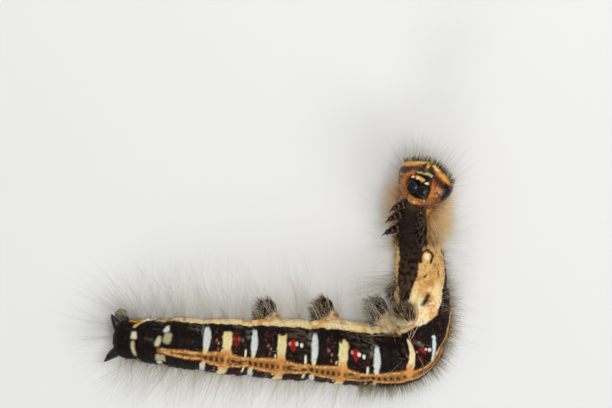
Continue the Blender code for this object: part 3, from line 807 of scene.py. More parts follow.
@dataclass(frozen=True)
class Markings:
    """The pattern on the skin by segment, from the tail, as strengths and angles."""

    line: CentreLine
    turn: float = 8.0
    slant: float = 0.011
    ragged: float = 0.14
    rough_mm: float = 0.34
    fine_mm: float = 0.13
    coarse_mm: float = 0.9
    rung_gap: float = 0.56
    back_middle: tuple = (
        (0, -2), (8, -7), (22, -9), (24, -7), (26, -4.5), (27.2, 1), (29.3, 5), (31.6, 8), (36, 6),
    )
    white: tuple = (0, 0.0, 0.0, 1, 1, 1, 1, 0, 0, 0, 0, 0, 0)
    cream: tuple = (0, 0, 0, 1, 1, 1, 0, 0, 0, 0, 0, 0, 0)
    red: tuple = (0, 0, 0, 0.6, 0.9, 1, 0, 0, 0, 0, 0, 0, 0)
    dots: tuple = (0, 0, 0, 0.1, 0.9, 1, 0, 0, 0, 0, 0, 0, 0)
    band: tuple = (0.0, 0.75, 0.95, 1, 1, 1, 1, 1, 1, 0.95, 0.45, 0.25, 0.15)
    belly_dark: tuple = (1, 1, 0.8, 0.35, 0.2, 0.2, 0.25, 0.4, 0.8, 1, 1, 1, 1)
    band_edges: tuple = (
        (0, 104, 114), (3.7, 97, 118), (5.7, 93, 118), (7.3, 88, 116), (11.4, 89, 120),
        (16.8, 88, 122), (21.7, 88, 120), (23.6, 91, 122), (25.5, 100, 124), (27.1, 106, 126),
        (29.3, 113, 130), (32.0, 121, 138), (33.6, 108, 146), (34.1, 92, 148), (34.8, 80, 150),
        (36.4, 70, 152), (38.7, 71, 152), (42.4, 75, 150), (43.2, 80, 128), (47.9, 90, 128),
        (51.0, 96, 138),
    )
    grains: tuple = (0, 0, 0, 0.35, 0.5, 0.7, 1, 1, 0.3, 0.1, 0, 0, 0)
    grain_spots: tuple = ((33.9, 0.5), (35.6, 0.5))
    thorax: tuple = (0, 0, 0, 0, 0, 0, 0, 0, 0.1, 0.45, 1, 1, 1)
    cape_edge: tuple = ((42.8, 147), (43.3, 128), (45.3, 126), (47.9, 130), (50.7, 142))

    def read(self, place: Array, values: tuple) -> Array:
        """Values given at each segment's middle, read between them."""
        return self.line.by_segment(place, values)

    def side_edges(self, place: Array) -> tuple[Array, Array]:
        """The side band's two edges as angles from the back."""
        return lookup(place, self.band_edges), lookup(place, self.band_edges, 2)

    def survey(self, place: Array, angle: Array, points: Array) -> SkinPlaces:
        """Reads all that the markings need at these places.

        Args:
            place: Lengths from the tail.
            angle: Angles from the back to the left, in radians.
            points: The same places in space, for the mottling.

        Returns:
            The places, with the pattern of the right side slanting towards the tail.
        """
        index, along, length = self.line.segment_of(place)
        turn = (np.degrees(angle) + self.turn + 180) % 360 - 180
        along = along + np.where(turn < 0, -turn, 0) * self.slant * (np.abs(turn) < 90)
        return SkinPlaces(
            place=place,
            points=points,
            raw=(np.degrees(angle) + 180) % 360 - 180,
            turn=turn,
            along=along,
            length=length,
            girth=self.line.radius(place) * math.pi / 180,
            strengths={
                name: np.array(getattr(self, name), float)[index] for name in ("white", "cream", "red", "dots")
            },
            rough=lattice_noise(points, self.rough_mm, 1),
            fine=lattice_noise(points, self.fine_mm, 2),
            coarse=lattice_noise(points, self.coarse_mm, 3),
        )

    def tint(self, place: Array, angle: Array, points: Array) -> Array:
        """The skin's linear colour.

        Args:
            place: Lengths from the tail.
            angle: Angles from the back to the left, in radians.
            points: The same places in space, for the mottling.

        Returns:
            Rows of red, green and blue, laid from the ground colour up to the spots.
        """
        at = self.survey(place, angle, points)
        colour = self.ground(at)
        upper = (self.lay_fold, self.lay_spots, self.lay_stripes)
        for lay in (*upper, self.lay_back, self.lay_side, self.lay_thorax):
            colour = lay(colour, at)
        for stroke in BODY_STROKES:
            colour = stroke.lay(colour, place, at.raw, at.girth, (at.rough - 0.5) * self.ragged)
        return np.clip(colour, 0, 1)

    def ground(self, at: SkinPlaces) -> Array:
        """The black ground, brown in blotches, with olive streaks before a segment's edge and freckles.

        Args:
            at: The places on the skin.

        Returns:
            Rows of red, green and blue.
        """
        brown = smooth(0.55, 0.85, at.rough) * (0.3 + 0.5 * smooth(5, 12, at.place))
        colour = blend(Tone.SOOT.rgb, Tone.UMBER.rgb, brown)
        lengthwise = np.stack([at.place, at.turn * 0.22, 0 * at.turn], -1)
        streaks = smooth(0.5, 0.75, lattice_noise(lengthwise, 0.9, 4))
        olive = window(at.share, 0.64, 0.97, 0.06) * window(at.wide, 58, 92, 9) * streaks
        colour = blend(colour, Tone.OLIVE_GREY.rgb, olive * 0.55)
        freckle = smooth(0.66, 0.84, at.fine) * smooth(0.4, 0.6, at.coarse)
        return blend(colour, Tone.FRECKLE.rgb, freckle * (0.12 + 0.3 * smooth(6, 12, at.place)))

    def lay_fold(self, colour: Array, at: SkinPlaces) -> Array:
        """The grey fold between two segments, above the white stripe's outer end.

        Args:
            colour: Rows so far.
            at: The places on the skin.

        Returns:
            The rows with the fold laid on.
        """
        edge = bell(at.share, 1.0, 0.05) + bell(at.share, 0.0, 0.03)
        fold = np.clip(edge, 0, 1) * window(at.wide, 52, 86, 8) * smooth(0.35, 0.8, at.rough) * 0.55
        return blend(colour, Tone.FOLD_GREY.rgb, fold * (at.strengths["white"] > 0.5))

    def lay_stripes(self, colour: Array, at: SkinPlaces) -> Array:
        """The white stripe at each segment's tail edge and the cream one at its middle.

        Args:
            colour: Rows so far.
            at: The places on the skin.

        Returns:
            The rows with both stripes laid on; each is lens shaped and widest half-way down.
        """
        along, wide, rough, fine = at.along, at.wide, at.rough, at.fine
        wobbly = along + (rough - 0.5) * 0.16
        bulge = 0.36 * (0.42 + 0.58 * bell(wide, 45, 22))
        lens = 0.5 + 0.1 * bell(wide, 45, 22)
        white = window(wobbly, lens - bulge, lens + bulge, 0.08) * window(wide, 6, 73, 5)
        shade = blend(Tone.STRIPE_WHITE.rgb, Tone.CREAM.rgb, 1 - smooth(14, 30, wide))
        shade = shade * (0.9 + 0.1 * fine)[:, None]
        colour = blend(colour, shade, white * (at.strengths["white"] > 0.5))
        middle = at.length * 0.55
        width = 0.46 * (0.72 + 0.28 * bell(wide, 48, 22)) + 0.12 * bell(wide, 12, 9)
        stripe = window(wobbly, middle - width, middle + width, 0.08)
        stripe = stripe * (1 - smooth(61, 67, wide + 14 * (rough - 0.5)))
        warm = 1 - smooth(16, 34, wide + 10 * (fine - 0.5))
        shade = blend(Tone.CREAM.rgb, Tone.APRICOT.rgb, warm)
        rim = bell(along, middle + width * 0.9, 0.1) * smooth(40, 60, wide)
        shade = blend(shade, Tone.APRICOT.rgb, np.clip(rim, 0, 1) * 0.8)
        shade = shade * (0.88 + 0.16 * fine)[:, None]
        cream = at.strengths["cream"]
        return blend(colour, shade, stripe * (cream > 0.25) * np.clip(cream * 1.2, 0, 1))

    def lay_spots(self, colour: Array, at: SkinPlaces) -> Array:
        """The red spot before each white stripe, its white marks and the small pink ones.

        Args:
            colour: Rows so far.
            at: The places on the skin.

        Returns:
            The rows with the spots, the small marks and a pale streak behind the stripe laid on.
        """
        along, length, rough = at.along, at.length, at.rough
        arc = at.wide * at.girth
        middle = np.where(at.turn < 0, 54, 47) * at.girth
        wave = (rough - 0.5) * 0.5
        narrowing = 0.2 + 0.22 * smooth(-0.75, 0.35, arc - middle)
        red = blot((along - 0.745 * length) / narrowing + wave, (arc - middle + 0.08) / 0.62 + wave, 0.2)
        shade = blend(Tone.RED.rgb, Tone.RED_DEEP.rgb, smooth(0.55, 0.9, rough) * 0.7)
        present = at.strengths["red"]
        colour = blend(colour, shade, np.clip(red * 1.3, 0, 1) * np.clip(present * 1.2, 0, 1) * (present > 0.2))
        for dot in RED_SPOT_MARKS:
            across = (arc - middle - dot.offset) / dot.half_wide
            mark = blot((along - dot.share * length) / dot.half_long + wave, across, 0.25)
            colour = blend(colour, linear(dot.tone), mark * at.strengths["dots"])
        creamy = at.strengths["cream"] > 0.25
        ragged = (rough - 0.5) * 1.4
        for dot in SMALL_DOTS:
            across = (arc - dot.offset * at.girth) / dot.half_wide - ragged
            mark = blot((along - dot.share * length) / dot.half_long + ragged, across, 0.5)
            colour = blend(colour, linear(dot.tone), mark * creamy * 0.9)
        streak = window(along, 0.93 * length, 0.965 * length, 0.05) * window(at.wide, 12, 29, 3)
        return blend(colour, Tone.STREAK.rgb, streak * (at.strengths["white"] > 0.5))

    def lay_back(self, colour: Array, at: SkinPlaces) -> Array:
        """The double orange line on the back, with rungs behind and fine streaks ahead.

        Args:
            colour: Rows so far.
            at: The places on the skin.

        Returns:
            The rows with the band of the back laid on, from the ninth segment's edge to the waist.
        """
        place, share, fine = at.place, at.share, at.fine
        present = smooth(4.6, 5.4, place) * (1 - smooth(44, 47, place))
        arc = (at.turn - self.turn - lookup(place, self.back_middle)) * at.girth
        middle = 0.47 + 0.15 * np.sin(share * 2 * math.pi - 1.2)
        middle = middle * smooth(4.6, 12, place) + 0.12
        inside = 1 - smooth(middle - 0.08, middle + 0.06, np.abs(arc))
        rungs = 0.5 + 0.5 * np.cos(place * 2 * math.pi / self.rung_gap + 1.5 * (fine - 0.5))
        holes = smooth(0.28, 0.62, rungs) * smooth(0.1, 0.45, bell(arc, 0, 0.24))
        ladder = blend(Tone.LINE_ORANGE.rgb * 0.72, Tone.RUNG_BROWN.rgb, holes * 0.95)
        streaky = smooth(0.4, 0.65, lattice_noise(np.stack([place * 0.35, arc, 0 * arc], -1), 0.13, 7))
        lined = mix("#4A3014", "#C58A4A", streaky * 0.8)
        fill = blend(ladder, lined, window(share, 0.64, 0.98, 0.04))
        across = bell(share, 0.55, 0.055) * smooth(7, 12, place)
        fill = blend(fill, Tone.APRICOT.rgb, across * (0.85 - 0.5 * holes))
        fill = blend(fill, linear("#5A2E12"), (1 - smooth(7, 11, place)) * 0.8)
        colour = blend(colour, fill, inside * present)
        line = np.clip(bell(np.abs(arc), middle, 0.15) * 1.25, 0, 1)
        shade = blend(Tone.LINE_ORANGE.rgb, Tone.LINE_EDGE.rgb, smooth(0.35, 0.8, fine))
        return blend(colour, shade, line * present * (0.78 + 0.22 * smooth(0.2, 0.5, fine)))

    def lay_side(self, colour: Array, at: SkinPlaces) -> Array:
        """The cream band along each side, the folds under it and the belly.

        Args:
            colour: Rows so far.
            at: The places on the skin.

        Returns:
            The rows with the sides and belly laid on.
        """
        place, share, wide, rough, fine = at.place, at.share, at.wide, at.rough, at.fine
        low, high = self.side_edges(place)
        low = low + 1.6 * np.sin(share * 2 * math.pi + 0.6) + (rough - 0.5) * 5
        high = high + (fine - 0.5) * 4
        front = self.read(place, self.thorax)
        folds = 0.5 + 0.5 * np.sin(wide * 0.42 + 2.4 * rough + 5 * share)
        flank = blend(Tone.FOLD_BROWN.rgb, Tone.FOLD_CREAM.rgb, smooth(0.25, 0.7, folds))
        belly = blend(Tone.BELLY_DARK.rgb, Tone.BELLY.rgb, smooth(0.3, 0.75, rough))
        belly = blend(belly, Tone.BELLY_DARK.rgb, self.read(place, self.belly_dark) * (0.7 + 0.3 * rough))
        flank = blend(flank, belly, np.maximum(smooth(136, 150, wide), smooth(0.3, 0.7, front)))
        rear = 1 - smooth(4.0, 9.0, place)
        flank = blend(flank, Tone.BELLY_DARK.rgb, rear)
        colour = blend(colour, flank, smooth(high - 3, high + 3, wide))
        body = window(wide, low, high, 2.0) * self.read(place, self.band)
        body = body * (1 - 0.55 * smooth(0.55, 0.7, rough) * rear)
        cloud = lattice_noise(at.points, 0.55, 9)
        band = blend(Tone.BAND_CREAM.rgb, Tone.BAND_GOLD.rgb, smooth(0.35, 0.8, cloud))
        thread = bell(wide, (low + high) / 2 + 3 * np.sin(share * 9), 1.6) * smooth(0.4, 0.6, rough)
        band = blend(band, linear("#8A5426"), thread * 0.55)
        golden = smooth(36.6, 38.5, place)
        gold = mix("#D9A862", "#B57F42", smooth(0.5, 0.8, cloud))
        band = blend(band, gold, golden * 0.85)
        band = blend(band, linear("#8A5A2C"), golden * 0.5 * smooth(0.68, 0.8, fine))
        marks = window(share, 0.4, 0.62, 0.06) * self.read(place, self.grains) * (1 - smooth(32.5, 33, place))
        for centre, reach in self.grain_spots:
            marks = np.maximum(marks, bell(place, centre, reach) * (wide < 138))
        pale = smooth(0.62, 0.7, lattice_noise(at.points, 0.17, 12)) * marks
        band = blend(band, Tone.GRAIN_ORANGE.rgb, smooth(0.62, 0.7, fine) * marks * 0.9)
        band = blend(band, Tone.GRAIN_WHITE.rgb, pale * 0.9)
        return blend(colour, band, body)

    def lay_thorax(self, colour: Array, at: SkinPlaces) -> Array:
        """Golden tan on the back of the front three segments, dark brown beneath.

        Args:
            colour: Rows so far.
            at: The places on the skin.

        Returns:
            The rows with the golden cape laid on.
        """
        front = self.read(at.place, self.thorax)
        gold = blend(Tone.THORAX_GOLD.rgb, linear("#7A4A1E"), smooth(0.5, 0.85, at.rough) * 0.7)
        gold = blend(gold, linear("#E9C284"), smooth(0.6, 0.8, at.fine) * 0.6)
        edge = lookup(at.place, self.cape_edge)
        return blend(colour, gold, smooth(0.4, 0.9, front) * (1 - smooth(edge - 7, edge + 7, at.wide)))


@dataclass
class BodySkin:
    """The whole soft body as one skin: a grid along the centre line and round it."""

    line: CentreLine
    markings: Markings
    rows: int = 560
    columns: int = 168
    dome: float = 1.35
    neck: float = 1.1
    plump: float = 0.05
    edge_groove: float = 0.17
    ring_fold: float = 0.045
    side_ridge: float = 0.09
    tail_rings: int = 14
    first_ring: float = 0.04
    grain_mm: tuple = (0.16, 0.45)
    grain_depth: float = 0.045
    collar_rings: int = 16
    collar_end: tuple = (0, 0, -0.8)
    collar_thinning: float = 0.42
    legs: list[LegShape] = field(init=False)

    def __post_init__(self) -> None:
        """Works out the belly legs on this centre line."""
        self.legs = [LegShape(leg, self.line) for leg in BELLY_LEGS]

    @property
    def end(self) -> float:
        """The centre line's whole length."""
        return float(self.line.lengths[-1])

    def girth(self, place: Array, angle: Array) -> Array:
        """The distance of the skin from the centre line, without its fine grain.

        Args:
            place: Lengths from the tail.
            angle: Angles from the back.

        Returns:
            Plain radius + side ridge - grooves at the segment edges + ring folds.
        """
        _, along, length = self.line.segment_of(place)
        wide = np.abs(np.degrees((angle + math.pi) % (2 * math.pi) - math.pi))
        share = along / length
        edge = np.minimum(along, length - along)
        radius = self.line.radius(place)
        plump = self.plump * np.sin(math.pi * share) - self.edge_groove * bell(edge, 0, 0.3)
        rings = self.ring_fold * np.cos(share * 10 * math.pi) * smooth(0.1, 0.5, edge)
        rings = rings * (1 - 0.6 * bell(wide, 0, 30))
        ridge_at = np.mean(self.markings.side_edges(place), axis=0) - 3
        ridge = bell(wide, ridge_at, 9) * self.side_ridge * (0.75 + 0.25 * np.sin(share * 2 * math.pi - 0.8))
        gutter = -0.13 * bell(wide, ridge_at - 19, 7) - 0.16 * bell(wide, ridge_at + 20, 6)
        flat = 1 - 0.05 * smooth(140, 180, wide)
        tail = np.sqrt(np.clip(1 - (1 - np.clip(place / self.dome, 0, 1)) ** 2, 0.0, 1))
        neck = 1 - 0.35 * smooth(self.end - self.neck, self.end, place)
        return (radius * flat + (plump + rings + ridge + gutter) * (radius / 3.0)) * tail * neck

    def surface(self, place: Array, angle: Array) -> Array:
        """The skin's points: the ring point at the girth, with the belly legs drawn out.

        Args:
            place: Lengths from the tail.
            angle: Angles from the back.

        Returns:
            Rows of positions, none under the floor.
        """
        points = self.line.ring_points(place, angle, self.girth(place, angle))
        for shape in self.legs:
            share, turn = shape.patch_share(place, angle)
            near = share > 0
            points[near] = shape.draw_out(points[near], share[near], turn[near])
        points[:, 2] = np.maximum(points[:, 2], 0)
        return points

    def leg_share(self, place: Array, angle: Array) -> Array:
        """How far into a belly leg's patch each place lies, 0 outside all of them."""
        shares = [shape.patch_share(place, angle)[0] for shape in self.legs]
        return np.clip(np.max(shares, axis=0), 0, 1)

    def normals(self, place: Array, angle: Array, step: float = 0.06) -> Array:
        """Outward directions, from the cross product of small steps round and along the skin.

        Args:
            place: Lengths from the tail.
            angle: Angles from the back.
            step: The steps' length in millimetres.

        Returns:
            Rows of length 1.
        """
        turn = step / self.line.radius(place)
        along = self.surface(place + step, angle) - self.surface(place - step, angle)
        around = self.surface(place, angle + turn) - self.surface(place, angle - turn)
        return unit(np.cross(along, around))

    def tint(self, place: Array, angle: Array, points: Array) -> Array:
        """The markings, with the belly legs' cream domes, brown patches and dark feet over them.

        Args:
            place: Lengths from the tail.
            angle: Angles from the back.
            points: The same places in space.

        Returns:
            Rows of red, green and blue.
        """
        colour = self.markings.tint(place, angle, points)
        rough = lattice_noise(points, 0.3, 21)
        for shape in self.legs:
            share, turn = shape.patch_share(place, angle)
            small, raised = shape.leg.segment == "anal_segment", shape.leg.raised
            dome = blend(Tone.FOLD_CREAM.rgb, Tone.BAND_GOLD.rgb, smooth(0.4, 0.8, rough))
            dome = np.broadcast_to(Tone.BELLY_DARK.rgb, dome.shape) if small else dome
            colour = blend(colour, dome, smooth(0.0, 0.1, share) * (0.6 if small else 0.9))
            headward = smooth(-0.2, 0.9, np.cos(turn))
            slit = bell(share, 0.3, 0.05) * headward * (not raised)
            colour = blend(colour, linear("#4E2A18"), slit * (0.5 + 0.5 * rough))
            reach = 0.16 * headward * (not raised and not small)
            dark = smooth(0.26 + reach, 0.36 + reach, share + 0.06 * (rough - 0.5))
            brown = blend(Tone.LEG_BROWN.rgb, Tone.FOLD_BROWN.rgb, smooth(0.6, 0.9, rough))
            if raised:
                brown = blend(brown, linear("#E2D3AC"), smooth(-0.1, 0.6, -np.cos(turn)))
            colour = blend(colour, brown, dark)
            sole = linear("#8A6A3A" if raised else "#C9A27A")
            cover = 0.1 if small else 0.5 if raised else 0.8
            colour = blend(colour, sole, smooth(0.66, 0.74, share) * cover)
        return np.clip(colour, 0, 1)

    def collar(self, rim: Array) -> Array:
        """The soft neck's rings, from the skin's front ring into the back of the head.

        Args:
            rim: The front ring's points.

        Returns:
            Rings of points, each a step nearer the head's middle and thinner.
        """
        middle = rim.mean(0)
        step = np.linspace(0, 1, self.collar_rings + 1)[1:, None, None]
        inside = in_head(self.collar_end) - middle
        return middle + inside * step + (rim - middle) * (1 - self.collar_thinning * smooth(0, 0.8, step))

    def build(self, finish: bpy.types.Material) -> None:
        """Makes the skin and lets it stand for the segments and belly legs.

        Args:
            finish: The skin's material.
        """
        rise = np.linspace(0, 1, self.tail_rings) ** 1.8 * self.dome
        rest = np.linspace(self.dome, self.end - 0.05, self.rows - self.tail_rings + 1)[1:]
        stations = np.concatenate([np.maximum(rise, self.first_ring), rest])
        turns = np.linspace(-math.pi, math.pi, self.columns, endpoint=False)
        place, angle = all_pairs(stations, turns)
        points = self.surface(place, angle)
        tint = self.tint(place, angle, points)
        fine, coarse = (lattice_noise(points, size, 31 + order) for order, size in enumerate(self.grain_mm))
        calm = 1 - smooth(0.6, 0.72, self.leg_share(place, angle))
        lift = self.grain_depth * (fine - 0.5 + 0.6 * (coarse - 0.5)) * calm
        points = points + self.normals(place, angle) * lift[:, None]
        points[:, 2] = np.maximum(points[:, 2], 0)
        grid = points.reshape(len(stations), self.columns, 3)
        collar = self.collar(grid[-1])
        grid = np.concatenate([grid, collar])
        points, faces = capped_grid(grid, self.line.at(np.array([0.02]))[0], collar[-1].mean(0))
        shading = 0.4 + 0.6 * lattice_noise(collar.reshape(-1, 3), 0.2, 33)
        membrane = mix("#8A5A30", "#3A2214", shading)
        tint = np.concatenate([tint, membrane, tint[:1], membrane[-1:]])
        skin = mesh_piece("body_skin", points, outward(points, faces), finish, tint)
        nodes = [segment.name for segment in SEGMENTS] + [belly_leg_node(leg) for leg in BELLY_LEGS]
        stand_for(skin, "banded_skin", *nodes)


def outward(points: Array, faces: Array) -> Array:
    """Turns all faces round if the closed surface's signed volume is negative.

    Args:
        points: Rows of positions round the surface's own middle.
        faces: Rows of three point numbers.

    Returns:
        The faces, wound so that they look outwards.
    """
    a, b, c = (points[faces[:, k]] for k in range(3))
    volume = np.einsum("ij,ij->i", a, np.cross(b, c)).sum()
    return faces if volume > 0 else faces[:, ::-1]


def add_node(
    tree: bpy.types.NodeTree, kind: str, settings: dict[str, object], links: dict[str, object]
) -> bpy.types.Node:
    """Adds one node with its settings and links.

    Args:
        tree: The material's node tree.
        kind: The node's type name.
        settings: Values by attribute name, or by input name where the node has no such attribute.
        links: The socket that feeds each named input.

    Returns:
        The node.
    """
    node = tree.nodes.new(kind)
    for name, value in settings.items():
        if hasattr(node, name):
            setattr(node, name, value)
        else:
            node.inputs[name].default_value = value
    for name, source in links.items():
        tree.links.new(source, node.inputs[name])
    return node


def per_metre(size_mm: float) -> float:
    """The noise scale whose features are this many millimetres across on Object coordinates."""
    return 1 / (size_mm * MM)


def start_material(name: str) -> tuple[bpy.types.Material, bpy.types.NodeTree, bpy.types.Node]:
    """Starts a node material.

    Args:
        name: The real material's name.

    Returns:
        The material, its tree and its Principled shader.
    """
    made = bpy.data.materials.new(name)
    made.use_nodes = True
    tree = made.node_tree
    return made, tree, tree.nodes["Principled BSDF"]


@dataclass(frozen=True)
class Mottle:
    """Noise that shades a tint: its feature size, the shades given, its detail and what is read of it."""

    size_mm: float
    shade: tuple
    detail: float = 2.0
    read: tuple = (0.3, 0.7)
    gloss_read: tuple = (0.3, 0.7)

    def lay(self, tree: bpy.types.NodeTree, shader: bpy.types.Node, gloss: tuple | None = None) -> None:
        """Feeds the shader's colour with the Tint attribute times the noise.

        Args:
            tree: The material's node tree.
            shader: The Principled shader.
            gloss: The roughness at the noise's low and high end, where it is to vary.
        """
        tint = add_node(tree, "ShaderNodeAttribute", {"attribute_name": "Tint"}, {}).outputs["Color"]
        place = add_node(tree, "ShaderNodeTexCoord", {}, {}).outputs["Object"]
        settings = {"Scale": per_metre(self.size_mm), "Detail": self.detail}
        noise = add_node(tree, "ShaderNodeTexNoise", settings, {"Vector": place}).outputs["Fac"]
        limits = ("From Min", "From Max", "To Min", "To Max")
        settings = dict(zip(limits, (*self.read, *self.shade), strict=True))
        amount = add_node(tree, "ShaderNodeMapRange", settings, {"Value": noise}).outputs["Result"]
        links = {"Vector": tint, "Scale": amount}
        shaded = add_node(tree, "ShaderNodeVectorMath", {"operation": "SCALE"}, links)
        tree.links.new(shaded.outputs["Vector"], shader.inputs["Base Color"])
        if gloss:
            settings = dict(zip(limits, (*self.gloss_read, *gloss), strict=True))
            varied = add_node(tree, "ShaderNodeMapRange", settings, {"Value": noise}).outputs["Result"]
            tree.links.new(varied, shader.inputs["Roughness"])


def add_bump(tree: bpy.types.NodeTree, shader: bpy.types.Node, sizes: tuple, depth_mm: float) -> None:
    """Feeds the shader's normal with noise of these feature sizes, each half the strength of the last.

    Args:
        tree: The material's node tree.
        shader: The Principled shader.
        sizes: Feature sizes in millimetres, coarse to fine.
        depth_mm: The coarse noise's depth in millimetres.
    """
    place = add_node(tree, "ShaderNodeTexCoord", {}, {}).outputs["Object"]
    normal = None
    for order, size in enumerate(sizes):
        noise = add_node(
            tree,
            "ShaderNodeTexNoise",
            {"Scale": per_metre(size), "Detail": 3.0, "Roughness": 0.6},
            {"Vector": place},
        )
        links = {"Height": noise.outputs["Fac"]}
        if normal is not None:
            links["Normal"] = normal
        depth = depth_mm * MM / 2**order
        normal = add_node(tree, "ShaderNodeBump", {"Strength": 0.9, "Distance": depth}, links).outputs["Normal"]
    tree.links.new(normal, shader.inputs["Normal"])


@dataclass(frozen=True)
class SoftSkin:
    """Larval cuticle, soft and finely granular: a satin look with wet glints on its folds."""

    name: str = "larval_soft_cuticle"
    roughness: tuple = (0.48, 0.72)
    specular: float = 0.12
    grain_mm: tuple = (0.34, 0.13)
    depth_mm: float = 0.032
    mottle: Mottle = Mottle(0.2, (0.84, 1.12), 4.0)

    def make(self) -> bpy.types.Material:
        """Makes it: the tint broken up by fine mottling, varied roughness and a granular bump.

        Returns:
            The material.
        """
        made, tree, shader = start_material(self.name)
        self.mottle.lay(tree, shader, self.roughness)
        shader.inputs["Specular IOR Level"].default_value = self.specular
        add_bump(tree, shader, self.grain_mm, self.depth_mm)
        return made


@dataclass(frozen=True)
class HardCuticle:
    """Hardened cuticle, as on a head, jaw or claw: smooth and glossy with a fine leathery grain."""

    name: str
    roughness: float = 0.3
    specular: float = 0.3
    coat: float = 0.06
    coat_roughness: float = 0.12
    grain_mm: tuple = (0.14, 0.06)
    depth_mm: float = 0.009
    mottle: Mottle = Mottle(0.35, (0.8, 1.15), 5.0, (0.32, 0.68))

    def make(self) -> bpy.types.Material:
        """Makes it: the tint shaded by noise under a thin clear coat.

        Returns:
            The material.
        """
        made, tree, shader = start_material(self.name)
        self.mottle.lay(tree, shader, (self.roughness * 0.75, self.roughness * 1.4))
        shader.inputs["Specular IOR Level"].default_value = self.specular
        shader.inputs["Coat Weight"].default_value = self.coat
        shader.inputs["Coat Roughness"].default_value = self.coat_roughness
        add_bump(tree, shader, self.grain_mm, self.depth_mm)
        return made


@dataclass(frozen=True)
class Bristle:
    """Hair of chitin, hollow and clear at the tip: pale ones take light tints, partly their own cream and
    partly painted glow for light through them, and dark ones shine.
    """

    name: str
    roughness: float = 0.42
    specular: float = 0.5
    mottle: Mottle = Mottle(0.4, (0.85, 1.1))

    def make(self) -> bpy.types.Material:
        """Makes it: the tint with faint bands along the hair.

        Returns:
            The material.
        """
        made, tree, shader = start_material(self.name)
        self.mottle.lay(tree, shader)
        shader.inputs["Roughness"].default_value = self.roughness
        shader.inputs["Specular IOR Level"].default_value = self.specular
        return made


@dataclass(frozen=True)
class HairSet:
    """A kind of hair: how many, where on the body, how long, how they lean and their colours."""

    name: str
    count: int
    places: tuple
    angles: tuple
    length: float
    spread: float = 0.3
    lean: float = 0.15
    drop: float = 0.0
    scatter: float = 0.16
    curl: float = 0.12
    thickness: float = 0.024
    stations: int = 5
    # The default pale tints are partly the hair's own cream and partly painted glow, standing in for light
    # shining through the hair.
    root: str = "#DAD1B6"
    tip: str = "#FAF7EF"
    dark_share: float = 0.0
    tuft: float = 0.0
    ground_share: float = 0.15
    centres: tuple = ()


# The lowest a hair's middle may lie in millimetres, the power of its taper and its spot on the baking map.
HAIR_FLOOR = 0.05
HAIR_TAPER = 0.7
HAIR_SPOT = 0.003


def bake_place(across: Array, along: Array) -> Array:
    """Places on the baking map from two shares in 0 to 1, kept off its edge."""
    return np.stack([across, along], -1) * 0.98 + 0.01


@dataclass
class Hairs:
    """Hairs as solid tapered fibres of three sides, one row in each array for each hair.

    A hair runs from its root along ways for its length and bends sideways by bends, a share of the
    length at the tip. Its tints are linear colours and uv is its root's place on the baking map.
    """

    roots: Array
    ways: Array
    bends: Array
    lengths: Array
    thickness: Array
    root_tint: Array
    tip_tint: Array
    uv: Array
    stations: int

    def only(self, keep: Array) -> "Hairs":
        """The hairs picked out by a row of true and false."""
        rows = {name: value[keep] for name, value in vars(self).items() if name != "stations"}
        return replace(self, **rows)

    def points(self) -> Array:
        """The hairs' points, (hairs, points of one, 3), three to a ring and one at the tip.

        Returns:
            root + way*L*t + bend*L*t^2 with the ring's radius r*(1 - t)^0.7, none under the floor.
        """
        share = np.linspace(0, 1, self.stations + 1)
        run = share[None, :, None] * self.lengths[:, None, None]
        path = self.roots[:, None] + self.ways[:, None] * run + self.bends[:, None] * run * share[None, :, None]
        path[..., 2] = np.maximum(path[..., 2], HAIR_FLOOR)
        across = unit(np.cross(self.ways, unit(np.array([0.23, 0.61, 0.41]))))
        beside = np.cross(self.ways, across)
        turn = np.array([0, 2, 4]) * math.pi / 3
        ring = np.cos(turn)[None, :, None] * across[:, None] + np.sin(turn)[None, :, None] * beside[:, None]
        taper = (1 - share[:-1]) ** HAIR_TAPER
        offset = ring[:, None] * (self.thickness[:, None] * taper[None])[:, :, None, None]
        rings = path[:, :-1, None] + offset
        return np.concatenate([rings.reshape(len(path), -1, 3), path[:, -1:]], axis=1)

    def one_hair(self) -> Array:
        """The triangles of one hair.

        Returns:
            Rows of point numbers: walls from ring to ring, the tip's fan and the root's cap.
        """
        k = np.arange(3)
        after = (k + 1) % 3
        starts = 3 * np.arange(self.stations - 1)
        walls = [np.stack([k + s, after + s, after + s + 3], -1) for s in starts]
        walls += [np.stack([k + s, after + s + 3, k + s + 3], -1) for s in starts]
        last = 3 * (self.stations - 1)
        tip = np.stack([k + last, after + last, np.full(3, 3 * self.stations)], -1)
        return np.concatenate([*walls, tip, [[0, 2, 1]]])

    def build(self, name: str, finish: bpy.types.Material) -> None:
        """Makes one piece of all the hairs and puts it on the root.

        Args:
            name: The piece's name.
            finish: The material.
        """
        points = self.points()
        count, size, _ = points.shape
        faces = (self.one_hair()[None] + (np.arange(count) * size)[:, None, None]).reshape(-1, 3)
        at = np.append(np.repeat(np.linspace(0, 1, self.stations + 1)[:-1], 3), 1.0)
        change = (self.tip_tint - self.root_tint)[:, None]
        tint = self.root_tint[:, None] + change * (at**0.8)[None, :, None]
        ring = np.append(np.tile(np.arange(3), self.stations), 1) / 2
        spot = (np.stack([at, ring], -1) - 0.5) * HAIR_SPOT
        place = (self.uv[:, None] + spot[None]).reshape(-1, 2)
        tint = tint.reshape(-1, 3)
        piece = mesh_piece(name, points.reshape(-1, 3), faces, finish, tint, place[faces.ravel()])
        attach(piece, "root")
        LOG.info("%s: %d hairs, %d triangles", name, count, len(faces))


